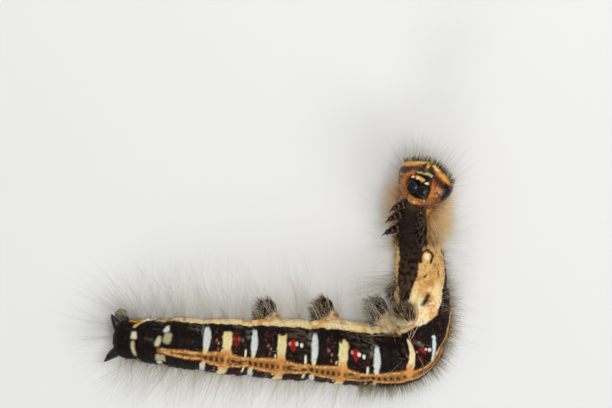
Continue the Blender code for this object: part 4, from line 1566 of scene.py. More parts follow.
@dataclass
class Coat:
    """The hair of the body, set by set."""

    skin: BodySkin
    seed: int = 5
    knots: int = 3
    row_gap: float = 13.0
    bare_leg: float = 0.3
    root_sink: float = 0.06
    tip_clear: float = 0.25
    tip_rise: float = 0.3

    def spots(self, kind: HairSet, draw: np.random.Generator) -> tuple[Array, Array]:
        """Where one set's hairs stand: scattered, gathered in tufts, or about the set's centres.

        Args:
            kind: The hair set.
            draw: The random draws.

        Returns:
            Lengths from the tail and angles from the back in degrees.
        """
        count = kind.count
        place = draw.uniform(*kind.places, count)
        angle = draw.uniform(*kind.angles, count)
        gathered = draw.random(count) < kind.tuft
        index, along, length = self.skin.line.segment_of(place)
        cell = np.round(along / length * self.knots + 0.5) / self.knots
        knots = self.skin.line.edges[index] + length * cell - length / (2 * self.knots)
        place = np.where(gathered, knots + draw.normal(0, 0.16, count), place)
        rows = np.round(angle / self.row_gap) * self.row_gap
        angle = np.where(gathered, rows + draw.normal(0, 2.2, count), angle)
        if kind.centres:
            middle = np.array(kind.centres)[draw.integers(0, len(kind.centres), count)]
            place = middle[:, 0] + draw.normal(0, 0.2, count)
            angle = middle[:, 1] + draw.normal(0, 4.0, count)
        return np.clip(place, 0.1, self.skin.end - 0.3), angle

    def grow(self, kind: HairSet, finish: bpy.types.Material) -> None:
        """Grows one set of hairs on the body, none on the belly legs.

        Args:
            kind: The hair set.
            finish: The material.
        """
        draw = np.random.default_rng(self.seed + sum(map(ord, kind.name)))
        count = kind.count
        place, angle = self.spots(kind, draw)
        turn = np.radians(angle)
        roots = self.skin.surface(place, turn)
        normal = self.skin.normals(place, turn)
        ahead = self.skin.line.frames(place)[1]
        ways = normal - ahead * kind.lean - UP * kind.drop + draw.normal(0, kind.scatter, (count, 3))
        lengths = kind.length * np.clip(draw.normal(1, kind.spread, count), 0.3, 1.32)
        pull = -ahead * kind.curl - UP * (kind.curl * 0.5) + draw.normal(0, 0.09, (count, 3))
        ways = unit(ways)
        sinks = ways[:, 2] * lengths + roots[:, 2] < self.tip_clear
        ways[sinks, 2] = (self.tip_rise - roots[sinks, 2]) / lengths[sinks]
        dark = (draw.random(count) < kind.dark_share)[:, None]
        ground = self.skin.tint(place, turn, roots)
        vary = draw.uniform(0.84, 1.16, (count, 1))
        tints = []
        for dark_hex, own_hex, share in (
            ("#1C120C", kind.root, kind.ground_share),
            ("#4A3828", kind.tip, max(kind.ground_share - 0.3, 0)),
        ):
            tone = np.where(dark, linear(dark_hex), linear(own_hex))
            tints.append(np.clip(blend(tone, ground, np.full(count, share)) * vary, 0, 1))
        hairs = Hairs(
            roots=roots - normal * self.root_sink,
            ways=unit(ways),
            bends=pull,
            lengths=lengths,
            thickness=kind.thickness * draw.uniform(0.75, 1.25, count),
            root_tint=tints[0],
            tip_tint=tints[1],
            uv=bake_place(place / self.skin.end, (angle + 180) % 360 / 360),
            stations=kind.stations,
        )
        hairs.only(self.skin.leg_share(place, turn) < self.bare_leg).build(f"coat_{kind.name}", finish)


HAIR_SETS = (
    HairSet("flank_left", 430, (1.2, 30.5), (94, 130), 6.2, 0.16, 0.14, 0.02, 0.12, 0.1, 0.011, 6, tuft=0.5),
    HairSet(
        "flank_right", 1050, (1.2, 38), (-130, -92), 6.0, 0.18, 0.14, 0.02, 0.12, 0.1, 0.0125, 6,
        root="#A89C7A", tip="#F0EAD8", tuft=0.5,
    ),
    HairSet("shoulder_left", 22, (2.5, 30), (66, 92), 4.0, 0.25, 0.16, 0, 0.18, 0.06, 0.01, 5, tuft=0.4),
    HairSet("shoulder_right", 360, (2.5, 34), (-92, -54), 4.4, 0.25, 0.12, 0, 0.18, 0.12, 0.012, 5, tuft=0.4),
    HairSet("back_fine", 24, (3, 31), (-54, 50), 2.2, 0.3, 0.2, 0, 0.22, 0.06, 0.009, 4),
    HairSet("tail", 250, (0.5, 3.4), (98, 262), 6.0, 0.18, 0.9, -0.02, 0.22, 0.1, 0.011, 6),
    HairSet(
        "dark_fuzz", 5200, (0.6, 33), (-84, 84), 0.36, 0.35, 0.5, 0, 0.3, 0.2, 0.009, 2,
        root="#0C0603", tip="#2E1A10", dark_share=0.4, ground_share=0.8,
    ),
    HairSet(
        "bend_brush", 1500, (25, 34), (-95, -14), 1.5, 0.3, 0.05, 0, 0.2, 0.12, 0.014, 3,
        root="#5E4628", tip="#E2D2A8", dark_share=0.3,
    ),
    HairSet(
        "bend_outer", 1100, (30.5, 40), (-60, 20), 1.4, 0.3, 0.05, 0, 0.2, 0.12, 0.0135, 3,
        root="#6A5230", tip="#E6D9B6", dark_share=0.25,
    ),
    HairSet("bend_long", 90, (28, 42), (-80, 50), 3.6, 0.22, 0.1, 0, 0.22, 0.12, 0.01, 5),
    HairSet(
        "bend_stray", 7, (30.6, 32.6), (84, 92), 4.4, 0.12, -1.1, 0, 0.1, 0.0, 0.03, 6,
        root="#B8B090", tip="#E6E0CC",
    ),
    HairSet("waist_fine", 120, (35, 44), (10, 84), 4.0, 0.25, 0.0, 0, 0.22, 0.12, 0.008, 5),
    HairSet("far_side", 170, (40, 51), (-140, -60), 3.4, 0.25, 0.0, 0, 0.22, 0.12, 0.009, 5),
    HairSet(
        "thorax_gold", 4200, (43.0, 51.0), (-100, 120), 1.85, 0.26, -0.14, -0.05, 0.18, 0.1, 0.017, 4,
        root="#C4741E", tip="#FCDDA2", ground_share=0.1,
    ),
    HairSet("thorax_long", 300, (41, 51.0), (-100, 116), 4.4, 0.22, -0.08, 0, 0.2, 0.1, 0.008, 6),
    HairSet(
        "thorax_dark", 330, (43, 49), (100, 112), 0.9, 0.25, 0.0, 0, 0.14, 0.1, 0.02, 3,
        root="#060302", tip="#1E130C", dark_share=1.0, centres=((46.0, 107), (43.7, 111), (48.9, 110)),
    ),
    HairSet(
        "waist_dark", 70, (36, 37), (98, 104), 0.5, 0.25, 0.0, 0, 0.3, 0.1, 0.016, 3,
        root="#0A0503", tip="#3A2414", dark_share=1.0, centres=((36.2, 101),),
    ),
    HairSet(
        "thorax_belly", 1300, (42.6, 51.0), (132, 228), 0.6, 0.4, 0.0, 0, 0.4, 0.35, 0.014, 3,
        root="#120A06", tip="#5A4230", dark_share=0.6,
    ),
    HairSet(
        "belly", 900, (6, 40), (132, 228), 0.6, 0.4, 0.1, 0, 0.3, 0.1, 0.012, 2,
        root="#4A3424", tip="#B09A74", dark_share=0.4,
    ),
)


class HeadFinish(Enum):
    """The head's colours as sRGB hex."""

    AMBER = "#964E12"
    UMBER = "#4A1D08"
    HONEY = "#CC8632"
    RIM = "#1A0D08"
    FRONS = "#231D1A"

    @property
    def rgb(self) -> Array:
        """The colour as linear red, green and blue."""
        return linear(self.value)


def nearest_on(points: Array, first: tuple, last: tuple) -> Array:
    """Each point's distance from the straight stretch between two places.

    Args:
        points: Rows of places.
        first: The stretch's start.
        last: Its end.

    Returns:
        One distance for each row.
    """
    start = np.array(first, float)
    run = np.array(last, float) - start
    share = np.clip(((points - start) @ run) / run.dot(run), 0, 1)
    return np.linalg.norm(points - start - share[:, None] * run, axis=1)


def mirrored(*strokes: Stroke) -> tuple[Stroke, ...]:
    """The strokes and their images on the head's other side."""
    other = (replace(stroke, nodes=tuple((-u, v, half) for u, v, half in stroke.nodes)) for stroke in strokes)
    return (*strokes, *other)


CHEEK_STROKES = mirrored(
    Stroke(((1.5, -0.5, 0.35), (1.95, 0.15, 0.35)), "#B86F26", 0.8, 0.3),
    Stroke(((1.0, 1.3, 0.16), (1.7, 1.08, 0.24), (2.3, 0.8, 0.26)), "#3E190B", 0.95, 0.2),
    Stroke(((1.15, 0.95, 0.12), (1.3, 0.75, 0.14)), "#8A3A12", 0.8, 0.16),
    Stroke(
        (
            (1.05, 1.0, 0.07), (1.52, 0.4, 0.1), (1.6, 0.0, 0.11), (1.35, -0.62, 0.11),
            (0.9, -1.15, 0.1),
        ),
        "#BA6C28", 0.85, 0.12,
    ),
    Stroke(((1.62, 0.75, 0.03), (1.72, 0.3, 0.05), (1.7, -0.1, 0.03)), "#7A3410", 0.8, 0.08),
    # Thin pale upright streak on each cheek: a painted highlight along the cheek's glossy ridge.
    Stroke(((2.12, 0.5, 0.03), (2.2, 0.1, 0.05), (2.1, -0.3, 0.03)), "#E3A850", 0.7, 0.1),
    Stroke(
        ((2.46, 1.0, 0.2), (2.66, 0.5, 0.27), (2.75, 0.0, 0.27), (2.56, -0.66, 0.17)),
        "#0F0806", 1.0, 0.09,
    ),
    Stroke(((2.3, -0.9, 0.12), (1.8, -1.55, 0.16), (1.0, -2.05, 0.16)), "#5C260C", 0.8, 0.25),
)
FACE_STROKES = (
    Stroke(((-0.9, -1.34, 0.16), (0.0, -1.5, 0.2), (0.85, -1.4, 0.18)), "#A8641E", 0.9, 0.22),
    Stroke(((-2.75, 0.4, 0.22), (-2.1, 0.62, 0.36), (-1.62, 0.85, 0.26)), "#34160A", 0.95, 0.12),
    # Near-black patch up beside the feeler's root: painted shade, the mouth hollow's dark carried up behind the
    # feeler.
    Stroke(((1.0, 0.95, 0.16), (1.2, 0.6, 0.16)), "#1C0B06", 0.95, 0.12),
    # Pale streak low on the chin beside the lower lip: a painted highlight.
    Stroke(((0.8, -1.42, 0.1), (1.05, -1.3, 0.12)), "#E8B878", 0.8, 0.12),
    Stroke(
        (
            (-3.0, 0.78, 0.2), (-1.95, 1.42, 0.29), (-1.1, 1.85, 0.27), (-0.66, 2.14, 0.17),
            (-0.2, 2.34, 0.1),
        ),
        "#B8742A", soft=0.08,
    ),
    Stroke(((-2.85, 0.92, 0.12), (-1.9, 1.46, 0.2), (-1.1, 1.88, 0.18)), "#DD9E44", soft=0.1),
    Stroke(((-1.4, 1.76, 0.1), (-0.68, 2.13, 0.12), (-0.25, 2.32, 0.09)), "#EFCB6A", soft=0.08),
    Stroke(
        (
            (0.0, 2.36, 0.1), (0.6, 2.14, 0.2), (1.28, 1.84, 0.26), (1.98, 1.56, 0.25),
            (2.62, 1.26, 0.15),
        ),
        "#B8742A", soft=0.08,
    ),
    Stroke(
        ((0.6, 2.14, 0.12), (1.28, 1.86, 0.18), (1.98, 1.58, 0.16), (2.5, 1.32, 0.08)),
        "#DFA048", soft=0.1,
    ),
    Stroke(((0.05, 2.34, 0.09), (0.62, 2.13, 0.13), (1.0, 1.98, 0.1)), "#F0CC70", soft=0.08),
    Stroke(((-0.05, 1.55, 0.12), (0.42, 1.42, 0.1)), "#7A5226", 0.8, 0.14),
    Stroke(((-0.62, 1.02, 0.07), (-0.25, 1.14, 0.12), (0.1, 1.17, 0.1)), "#B3A25E", 0.95, 0.09),
    Stroke(((0.2, 1.22, 0.08), (0.48, 1.33, 0.1), (0.82, 1.25, 0.1)), "#D2C084", 0.95, 0.09),
    Stroke(((-0.14, 2.06, 0.16), (-0.05, 1.9, 0.18)), "#E8961F", soft=0.07),
)


FOREHEAD_RIM = (
    (-0.82, 0.8), (-0.71, 1.46), (-0.55, 2.1), (-0.3, 2.28), (0.05, 2.16), (0.62, 1.9),
    (1.03, 1.44), (1.0, 0.8),
)


@dataclass
class Head:
    """The head capsule: two cheeks, a cleft crown, a sunk triangle of the forehead and the mouth."""

    front: float = 1.95
    back: float = 1.75
    groove: float = 0.16
    rows: int = 150
    columns: int = 220
    outline: tuple = (
        (-90, 2.25), (-60, 2.34), (-40, 2.48), (-20, 2.62), (-4, 2.78), (8, 2.96), (20, 3.04),
        (32, 2.86), (45, 2.55), (60, 2.33), (75, 2.34), (90, 2.42),
    )
    forehead_left: tuple = (
        (0.8, -0.85), (1.0, -0.79), (1.46, -0.71), (1.74, -0.63), (2.05, -0.57), (2.24, -0.5),
    )
    forehead_right: tuple = ((0.8, 0.9), (1.1, 1.05), (1.44, 1.03), (1.9, 0.62), (2.24, -0.12))
    crown_line: tuple = ((0, 2.5), (0.6, 2.34), (1.9, 1.86), (2.7, 1.44))
    mouth_depth: float = 0.42
    seam_depth: float = 0.07
    grain_depth: float = 0.05

    def reach(self, wide: Array, tall: Array) -> Array:
        """The face outline's reach in the direction of each place, smoothed between its table's angles.

        Args:
            wide: Places along the width axis.
            tall: Places along the up axis.

        Returns:
            Millimetres from the middle of the face.
        """
        angle = np.degrees(np.arctan2(tall, np.abs(wide)))
        return np.mean([lookup(angle + step, self.outline) for step in (-5, -2.5, 0, 2.5, 5)], axis=0)

    def face_front(self, wide: float, tall: float) -> float:
        """How far forward the plain face lies at this place."""
        share = 1 - (wide**2 + tall**2) / float(self.reach(np.array(wide), np.array(tall))) ** 2
        return self.front * math.sqrt(max(share, 0.02))

    def places(self, polar: Array, turn: Array) -> Array:
        """Head-axes places from the polar angle off the face and the turn about it.

        Args:
            polar: Angle from straight ahead.
            turn: Angle about the front axis from the width axis to the up axis.

        Returns:
            Rows of width, up and front: an ellipsoid of unlike halves with a cleft, raised
            cheeks, the sunk forehead triangle and the hollow round the mouth.
        """
        wide = np.sin(polar) * np.cos(turn)
        tall = np.sin(polar) * np.sin(turn)
        deep = np.cos(polar)
        reach = self.reach(wide, tall)
        reach_front = np.where(deep > 0, self.front, self.back)
        cleft = self.groove * bell(wide, 0, 0.1) * np.maximum(tall - 0.2, 0)
        place = np.stack([wide * reach, tall * (reach - cleft * 1.6), deep * (reach_front - cleft)], -1)
        place[:, 2] += self.relief(place[:, :2]) * np.maximum(deep, 0)
        grain = lattice_noise(place, 0.28, 41) - 0.5
        return place + unit(place) * (self.grain_depth * grain)[:, None]

    def relief(self, flat: Array) -> Array:
        """How far the face stands in front of its plain ellipsoid.

        Args:
            flat: Rows of width and up places.

        Returns:
            Millimetres: the hollow round the mouth, the forehead with its seam and raised rim, and on
            each side the cheek, the frame beside the mouth and the furrow outside it.
        """
        wide, tall = flat.T
        triangle = self.forehead(flat)
        stretches = zip(FOREHEAD_RIM, FOREHEAD_RIM[1:], strict=False)
        seam = np.min([nearest_on(flat, first, last) for first, last in stretches], axis=0)
        height = -self.mouth_depth * blot(wide / 1.3, (tall + 0.42) / 1.35, 0.22)
        height -= self.seam_depth * (triangle + bell(seam, 0, 0.07))
        height += 0.06 * bell(seam, 0.24, 0.13) * (1 - triangle)
        for side in (-1, 1):
            height += 0.14 * bell(wide, side * 1.6, 0.75) * bell(tall, -0.35, 1.0)
            height += 0.09 * bell(nearest_on(flat, (side * 1.52, 0.45), (side * 1.42, -0.5)), 0, 0.13)
            height -= 0.05 * bell(nearest_on(flat, (side * 1.78, 0.7), (side * 1.86, -0.3)), 0, 0.07)
        return height

    def forehead(self, flat: Array) -> Array:
        """One inside the forehead's triangle, from its apex on the crown to above the lip.

        Args:
            flat: Rows of width and up places.

        Returns:
            The share of each row that lies inside, with a soft rim.
        """
        wide, tall = flat.T
        left, right = lookup(tall, self.forehead_left), lookup(tall, self.forehead_right)
        return window(wide, left, right, 0.05) * window(tall, 0.72, 2.2, 0.05)

    def tint(self, place: Array) -> Array:
        """The head's linear colour by its place: amber cheeks, gold roof band, dark patches and painted shade
        in the mouth hollow.

        Args:
            place: Head-axes places.

        Returns:
            Rows of red, green and blue.
        """
        flat = place[:, :2]
        wide, tall, deep = place.T
        side = np.abs(wide)
        rough = lattice_noise(place, 0.55, 42)
        fine = lattice_noise(place, 0.18, 43)
        streak = lattice_noise(place * np.array([1, 2.2, 1]), 0.5, 44)
        colour = blend(HeadFinish.AMBER.rgb, HeadFinish.UMBER.rgb, smooth(0.45, 0.85, rough) * 0.8)
        honey = smooth(0.6, 0.85, streak) * 0.5 * (1 - smooth(0.4, 1.6, tall))
        colour = blend(colour, HeadFinish.HONEY.rgb, honey)
        wobble = (fine - 0.5) * 0.1
        fronted = smooth(-0.5, 0.0, deep)
        painted = colour
        for stroke in CHEEK_STROKES:
            painted = stroke.lay(painted, wide, tall, 1.0, wobble)
        above = tall - lookup(side, self.crown_line)
        rim = smooth(0.0, 0.16, above + 0.9 * smooth(0.35, -0.25, deep) * smooth(0.2, 1.0, tall))
        painted = blend(painted, HeadFinish.RIM.rgb, rim * smooth(0.2, 0.6, tall))
        triangle = self.forehead(flat)
        grey = blend(HeadFinish.FRONS.rgb, linear("#120D0B"), smooth(0.5, 0.8, rough))
        painted = blend(painted, grey, triangle)
        for stroke in FACE_STROKES:
            painted = stroke.lay(painted, wide, tall, 1.0, wobble)
        # Near-black over the sunk hollow round the mouth, behind the jaws: painted shade.
        mouth = blot((wide - 0.05) / 1.32, (tall + 0.3) / 1.22, 0.2)
        painted = blend(painted, linear("#140805"), mouth)
        colour = blend(HeadFinish.RIM.rgb, painted, fronted)
        return np.clip(colour, 0, 1)

    def build(self, finish: bpy.types.Material) -> None:
        """Makes the capsule and lets it stand for the solid head.

        Args:
            finish: The head's material.
        """
        polar = np.linspace(0, math.pi, self.rows + 2)[1:-1]
        turn = np.linspace(0, 2 * math.pi, self.columns, endpoint=False)
        polars, turns = all_pairs(polar, turn)
        place = self.places(polars, turns)
        poles = self.places(np.array([0.0, math.pi]), np.zeros(2))
        grid = place.reshape(len(polar), self.columns, 3)
        points, faces = capped_grid(grid, poles[0], poles[1])
        tint = self.tint(points)
        points = in_head(points)
        head = mesh_piece("head_capsule", points, outward(points - HEAD_CENTRE, faces), finish, tint)
        stand_for(head, "head_capsule", "head")


@dataclass(frozen=True)
class Lump:
    """A mouthpart as a ball: its names, and its place and radii by the head's width, up and front axes."""

    piece: str
    node: str
    slot: str
    centre: tuple
    radii: tuple


UPPER_LIP = Lump("upper_lip", "labrum", "lip", (-0.06, 0.6, 1.72), (0.56, 0.29, 0.4))
LOWER_LIP = Lump("lower_lip", "labium", "head_capsule", (0, -1.74, 1.2), (0.95, 0.36, 0.62))
LIP_NUBS = (
    (0.0, -1.46, 1.7, 0.1), (0.3, -1.42, 1.66, 0.07), (-0.3, -1.42, 1.66, 0.07),
    (0.84, -1.34, 1.5, 0.12), (-0.84, -1.34, 1.5, 0.12),
)


@dataclass
class Mouth:
    """The lip, jaws and lower lip, each standing for its solid."""

    rows: int = 34
    columns: int = 56
    jaw_centre: tuple = (0.65, -0.42, 1.56)
    jaw_shift: float = 0.13
    jaw_radii: tuple = (0.62, 0.7, 0.66)
    jaw_boxiness: float = 0.84

    def ball(self) -> tuple[Array, Array]:
        """A ball of radius 1 with its poles to the front and back.

        Returns:
            Its points, the poles last, and its triangles.
        """
        polar = np.linspace(0, math.pi, self.rows + 2)[1:-1]
        turn = np.linspace(0, 2 * math.pi, self.columns, endpoint=False)
        polars, turns = all_pairs(polar, turn)
        ball = np.stack([np.sin(polars) * np.cos(turns), np.sin(polars) * np.sin(turns), np.cos(polars)], -1)
        poles = np.array([[0, 0, 1.0], [0, 0, -1.0]])
        return capped_grid(ball.reshape(self.rows, self.columns, 3), *poles)

    def put(self, lump: Lump, places: Array, faces: Array, tint: Array, finish: bpy.types.Material) -> None:
        """Places one mouthpart on the head and lets it stand for its node.

        Args:
            lump: The mouthpart.
            places: Its points from its own centre.
            faces: Its triangles.
            tint: A linear colour for each point.
            finish: The material.
        """
        points = in_head(places + np.array(lump.centre))
        faces = outward(points - points.mean(axis=0), faces)
        stand_for(mesh_piece(lump.piece, points, faces, finish, tint), lump.slot, lump.node)

    def build_labrum(self, finish: bpy.types.Material) -> None:
        """The upper lip: a low shield with a notch in its lower edge and a gold front.

        Args:
            finish: The material.
        """
        ball, faces = self.ball()
        wide, tall = ball[:, 0], ball[:, 1]
        low = np.maximum(-tall, 0)
        places = ball * np.array(UPPER_LIP.radii)
        places[:, 1] += 0.16 * bell(wide, 0, 0.28) * low
        places[:, 1] -= 0.07 * bell(np.abs(wide), 0.55, 0.3) * low
        places[:, 2] *= 0.9 + 0.12 * np.abs(wide)
        noise = lattice_noise(places, 0.16, 51)
        tint = mix("#E09A36", "#F7E9C2", bell(wide, 0, 0.5) * smooth(0.3, 0.6, noise))
        tint = blend(tint, linear("#6A3210"), smooth(0.35, 0.8, tall))
        tint = blend(tint, linear("#2A120A"), smooth(0.55, 0.85, -tall))
        self.put(UPPER_LIP, places, faces, tint, finish)

    def build_jaw(self, side: Side, finish: bpy.types.Material) -> None:
        """One jaw: a stout dome, hollowed inward, with four blunt teeth on its cutting edge.

        Args:
            side: The larva's side.
            finish: The material.
        """
        ball, faces = self.ball()
        sign = side.value
        wide, tall, deep = ball.T
        boxy = np.abs(ball) ** self.jaw_boxiness
        places = ball * np.array(self.jaw_radii) / np.maximum(np.abs(ball), 1e-6) * boxy * 0.94
        inner = np.maximum(-wide * sign, 0)
        teeth = 0.5 + 0.5 * np.cos(deep * 11)
        places[:, 0] -= sign * (0.06 + 0.1 * teeth) * smooth(0.3, 0.8, inner)
        places[:, 2] += 0.1 * smooth(0.2, 0.9, inner) * smooth(0, 0.6, deep)
        places[:, 0] += sign * 0.08 * smooth(-0.2, 0.8, wide * sign) * np.abs(tall)
        places[:, 1] -= 0.1 * np.maximum(-tall, 0) * inner
        places[:, 2] -= 0.05 * bell(tall, 0.15, 0.13) * smooth(0, 0.5, deep)
        tint = mix("#030202", "#1A0A08", smooth(0.5, 0.98, np.abs(tall)))
        across, high, front = self.jaw_centre
        centre = (across * sign + self.jaw_shift, high, front)
        lump = Lump(f"jaw_{side.word}", f"mandible_{side.word}", "jaw", centre, self.jaw_radii)
        self.put(lump, places, faces, tint, finish)

    def build_labium(self, finish: bpy.types.Material) -> None:
        """The lower lip: a broad amber plate with cream edges, two lobes, feelers and a spinneret.

        Args:
            finish: The material.
        """
        ball, faces = self.ball()
        wide, tall, deep = ball.T
        centre = np.array(LOWER_LIP.centre)
        plate = ball * np.array(LOWER_LIP.radii)
        plate[:, 1] += 0.1 * bell(np.abs(wide), 0.62, 0.22) - 0.06 * bell(wide, 0, 0.14)
        lobes = 0.14 * bell(wide, 0, 0.16) - 0.05 * bell(np.abs(wide), 0.34, 0.09)
        plate[:, 2] += lobes * np.maximum(deep, 0)
        tint = mix("#B56A24", "#7A3A12", smooth(0.4, 0.75, lattice_noise(plate, 0.2, 52)))
        edge = smooth(0.45, 0.8, tall) + bell(np.abs(wide), 0.34, 0.07) * 0.6
        places, every = [plate], [faces]
        tints = [blend(tint, linear("#E8C886"), np.clip(edge, 0, 1))]
        for *spot, size in LIP_NUBS:
            stalk = ball * np.array([size, size, size * 2.1])
            taper = (1 - 0.45 * np.maximum(deep, 0)) * (1 + 0.08 * np.cos(deep * 9))
            stalk[:, :2] *= taper[:, None]
            every.append(faces + len(ball) * len(places))
            places.append(stalk + np.array(spot) - centre)
            tints.append(mix("#6A3410", "#C98A3C", smooth(-0.2, 0.9, deep)))
        self.put(LOWER_LIP, *(np.concatenate(blocks) for blocks in (places, every, tints)), finish)

    def build(self, glossy: bpy.types.Material, jaw: bpy.types.Material) -> None:
        """Builds the lip, both jaws and the lower lip.

        Args:
            glossy: The lips' material.
            jaw: The jaws' material.
        """
        self.build_labrum(glossy)
        for side in Side:
            self.build_jaw(side, jaw)
        self.build_labium(glossy)


@dataclass
class Feeler:
    """A short three-jointed feeler beside the lip."""

    root: tuple = (1.0, 0.5, 1.2)
    tip: tuple = (0.63, 0.42, 2.26)
    radius: float = 0.18
    bow: float = 0.07
    rings: int = 46
    around: int = 22
    joints: tuple = ((0, 1.0), (0.4, 0.94), (0.42, 0.72), (0.75, 0.64), (0.77, 0.4), (1.0, 0.3))
    bristle_reach: float = 0.55
    bristle_radii: tuple = (0.035, 0.006)
    bristle_rings: int = 9

    def build(self, side: Side, finish: bpy.types.Material) -> None:
        """Three tapering joints with collars, cream with a brown tip, and one long bristle.

        Args:
            side: The larva's side.
            finish: The material.
        """
        sign = np.array([side.value, 1, 1])
        start, end = (in_head(np.array(spot) * sign) for spot in (self.root, self.tip))
        run = end - start
        share = np.linspace(0, 1, self.rings)
        joints = lookup(share, self.joints)
        joints = joints + 0.09 * (bell(share, 0.39, 0.03) + bell(share, 0.74, 0.025))
        joints = joints * np.sqrt(np.clip((1.015 - share) / 0.05, 0, 1))
        path = start + run * share[:, None] + HEAD_AXES[0] * (side.value * self.bow * share[:, None] ** 2)
        grid = tube_grid(path, joints * self.radius, self.around)
        points, faces = capped_grid(grid, path[0], path[-1] + unit(run) * 0.01)
        row = np.concatenate([np.repeat(share, self.around), [0, 1]])
        tint = mix("#F3ECDC", "#B89878", smooth(0.8, 1.0, row))
        tint = blend(tint, linear("#B98048"), bell(row, 0.41, 0.03))
        step = np.linspace(0, 1, self.bristle_rings)
        bristle = start + run * (1 + self.bristle_reach * step)[:, None]
        bristle = bristle + HEAD_AXES[1] * (0.16 * step[:, None] ** 2)
        thin = tube_grid(bristle, np.linspace(*self.bristle_radii, self.bristle_rings), 6)
        more, more_faces = capped_grid(thin, bristle[0], bristle[-1])
        more_faces = outward(more - start, more_faces) + len(points)
        faces = np.concatenate([outward(points - start, faces), more_faces])
        tint = np.concatenate([tint, np.broadcast_to(linear("#5A4430"), more.shape)])
        points = np.concatenate([points, more])
        piece = mesh_piece(f"feeler_{side.word}", points, faces, finish, tint)
        stand_for(piece, "feeler", f"antenna_{side.word}")


@dataclass
class Stemmata:
    """Six small simple eyes on an arc of each cheek."""

    head: Head
    centre: tuple = (2.04, -0.4)
    spread: float = 0.4
    arc: float = 0.2
    radius: float = 0.115
    stand: float = 0.06
    turns: tuple = (-130, -75, -20, 35, 90, 145)
    rings: int = 9
    around: int = 20

    def dome(self, side: Side, degrees: float) -> tuple[Array, Array]:
        """One eye as a dome that stands square to the cheek.

        Args:
            side: The larva's side.
            degrees: The eye's place on the arc.

        Returns:
            Its points in head axes and its triangles.
        """
        wide = self.centre[0] + self.arc * math.cos(math.radians(degrees))
        tall = self.centre[1] + self.spread * math.sin(math.radians(degrees))
        place = np.array([side.value * wide, tall, self.head.face_front(wide, tall) + self.stand])
        reach = float(self.head.reach(np.array(wide), np.array(tall)))
        out = unit(place / np.array([reach, reach, self.head.front]) ** 2)
        across = unit(np.cross(out, np.array([0, 1.0, 0])))
        beside = np.cross(out, across)
        polar = np.linspace(0, math.pi * 0.6, self.rings + 1)[1:, None, None]
        turn = np.linspace(0, 2 * math.pi, self.around, endpoint=False)[:, None]
        ring = np.cos(turn) * across + np.sin(turn) * beside
        size = self.radius * (0.85 if abs(degrees) > 120 else 1)
        grid = place + size * (np.sin(polar) * ring[None] + 0.8 * np.cos(polar) * out)
        points, faces = capped_grid(grid, place + out * size * 0.8, place - out * size * 0.5)
        return points, outward(points - place, faces)

    def build(self, side: Side, finish: bpy.types.Material) -> None:
        """Six glossy domes on one cheek.

        Args:
            side: The larva's side.
            finish: The material.
        """
        blocks, every = zip(*(self.dome(side, degrees) for degrees in self.turns), strict=True)
        faces = np.concatenate([block + len(blocks[0]) * order for order, block in enumerate(every)])
        points = in_head(np.concatenate(blocks))
        tint = np.broadcast_to(linear("#2A1208"), points.shape)
        piece = mesh_piece(f"simple_eyes_{side.word}", points, faces, finish, tint)
        stand_for(piece, "eye", f"eye_{side.word}")


@dataclass
class TrueLegs:
    """The three pairs of jointed legs behind the head."""

    line: CentreLine
    lengths: tuple = (("prothorax", 1.6), ("mesothorax", 1.8), ("metathorax", 1.9))
    angle: float = 146.0
    root_depth: float = 0.6
    bend: tuple = (0.42, -0.36)
    hook: float = 1.2
    claw_hook: float = 0.22
    rings: int = 54
    around: int = 20
    squash: float = 0.86
    profile: tuple = (
        (0, 0.56), (0.42, 0.53), (0.46, 0.44), (0.63, 0.41), (0.67, 0.33), (0.81, 0.28),
        (0.845, 0.13), (0.9, 0.1), (1, 0.02),
    )
    collars: tuple = (0.44, 0.65, 0.83)

    def sizes(self, share: Array) -> Array:
        """The radius along a leg: the profile, pinched at each collar and swollen before it.

        Args:
            share: Shares of the leg's length from its root.

        Returns:
            Radii in millimetres.
        """
        size = lookup(share, self.profile)
        for collar in self.collars:
            size = size * (1 - 0.14 * bell(share, collar, 0.014) + 0.1 * bell(share, collar - 0.04, 0.02))
        return size * 0.92

    def build_leg(self, name: str, length: float, side: Side, finish: bpy.types.Material) -> None:
        """One leg: four joints and a hooked claw, drawn out from the segment's lower side.

        Args:
            name: The leg's segment.
            length: The leg's length outside the body.
            side: The larva's side.
            finish: The material.
        """
        share = np.linspace(0, 1, self.rings)
        place = np.array([self.line.middles[SEGMENT_INDEX[name]]])
        radius = float(self.line.radius(place)[0])
        centre, ahead, back = (rows[0] for rows in self.line.frames(place)[:3])
        turn = np.radians([side.value * self.angle])
        root = self.line.ring_points(place, turn, np.array([radius * self.root_depth]))[0]
        bend = (ahead * self.bend[0] + back * self.bend[1]) * length
        reach = radius * (1 - self.root_depth) + length
        run = share[:, None]
        path = root + unit(root - centre) * reach * run * (1 - 0.12 * run**3) + bend * run**2 * self.hook
        path = path - back * self.claw_hook * smooth(0.8, 1.0, run) ** 2
        grid = tube_grid(path, self.sizes(share), self.around, self.squash)
        points, faces = capped_grid(grid, path[0], path[-1])
        row = np.concatenate([np.repeat(share, self.around), [0, 1]])
        noise = lattice_noise(points, 0.25, 61)
        tint = mix("#24130B", "#0F0805", smooth(0.4, 0.7, noise))
        collars = bell(row, 0.445, 0.016) + bell(row, 0.655, 0.014)
        tint = blend(tint, linear("#6A4426"), np.clip(collars, 0, 1) * 0.6)
        tint = blend(tint, linear("#4A2812"), smooth(0.88, 0.97, row))
        piece = mesh_piece(f"true_leg_{name}_{side.word}", points, outward(points - root, faces), finish, tint)
        stand_for(piece, "leg_cuticle", f"leg_{name}_{side.word}")

    def build(self, finish: bpy.types.Material) -> None:
        """All six legs.

        Args:
            finish: The material.
        """
        for name, length in self.lengths:
            for side in Side:
                self.build_leg(name, length, side, finish)


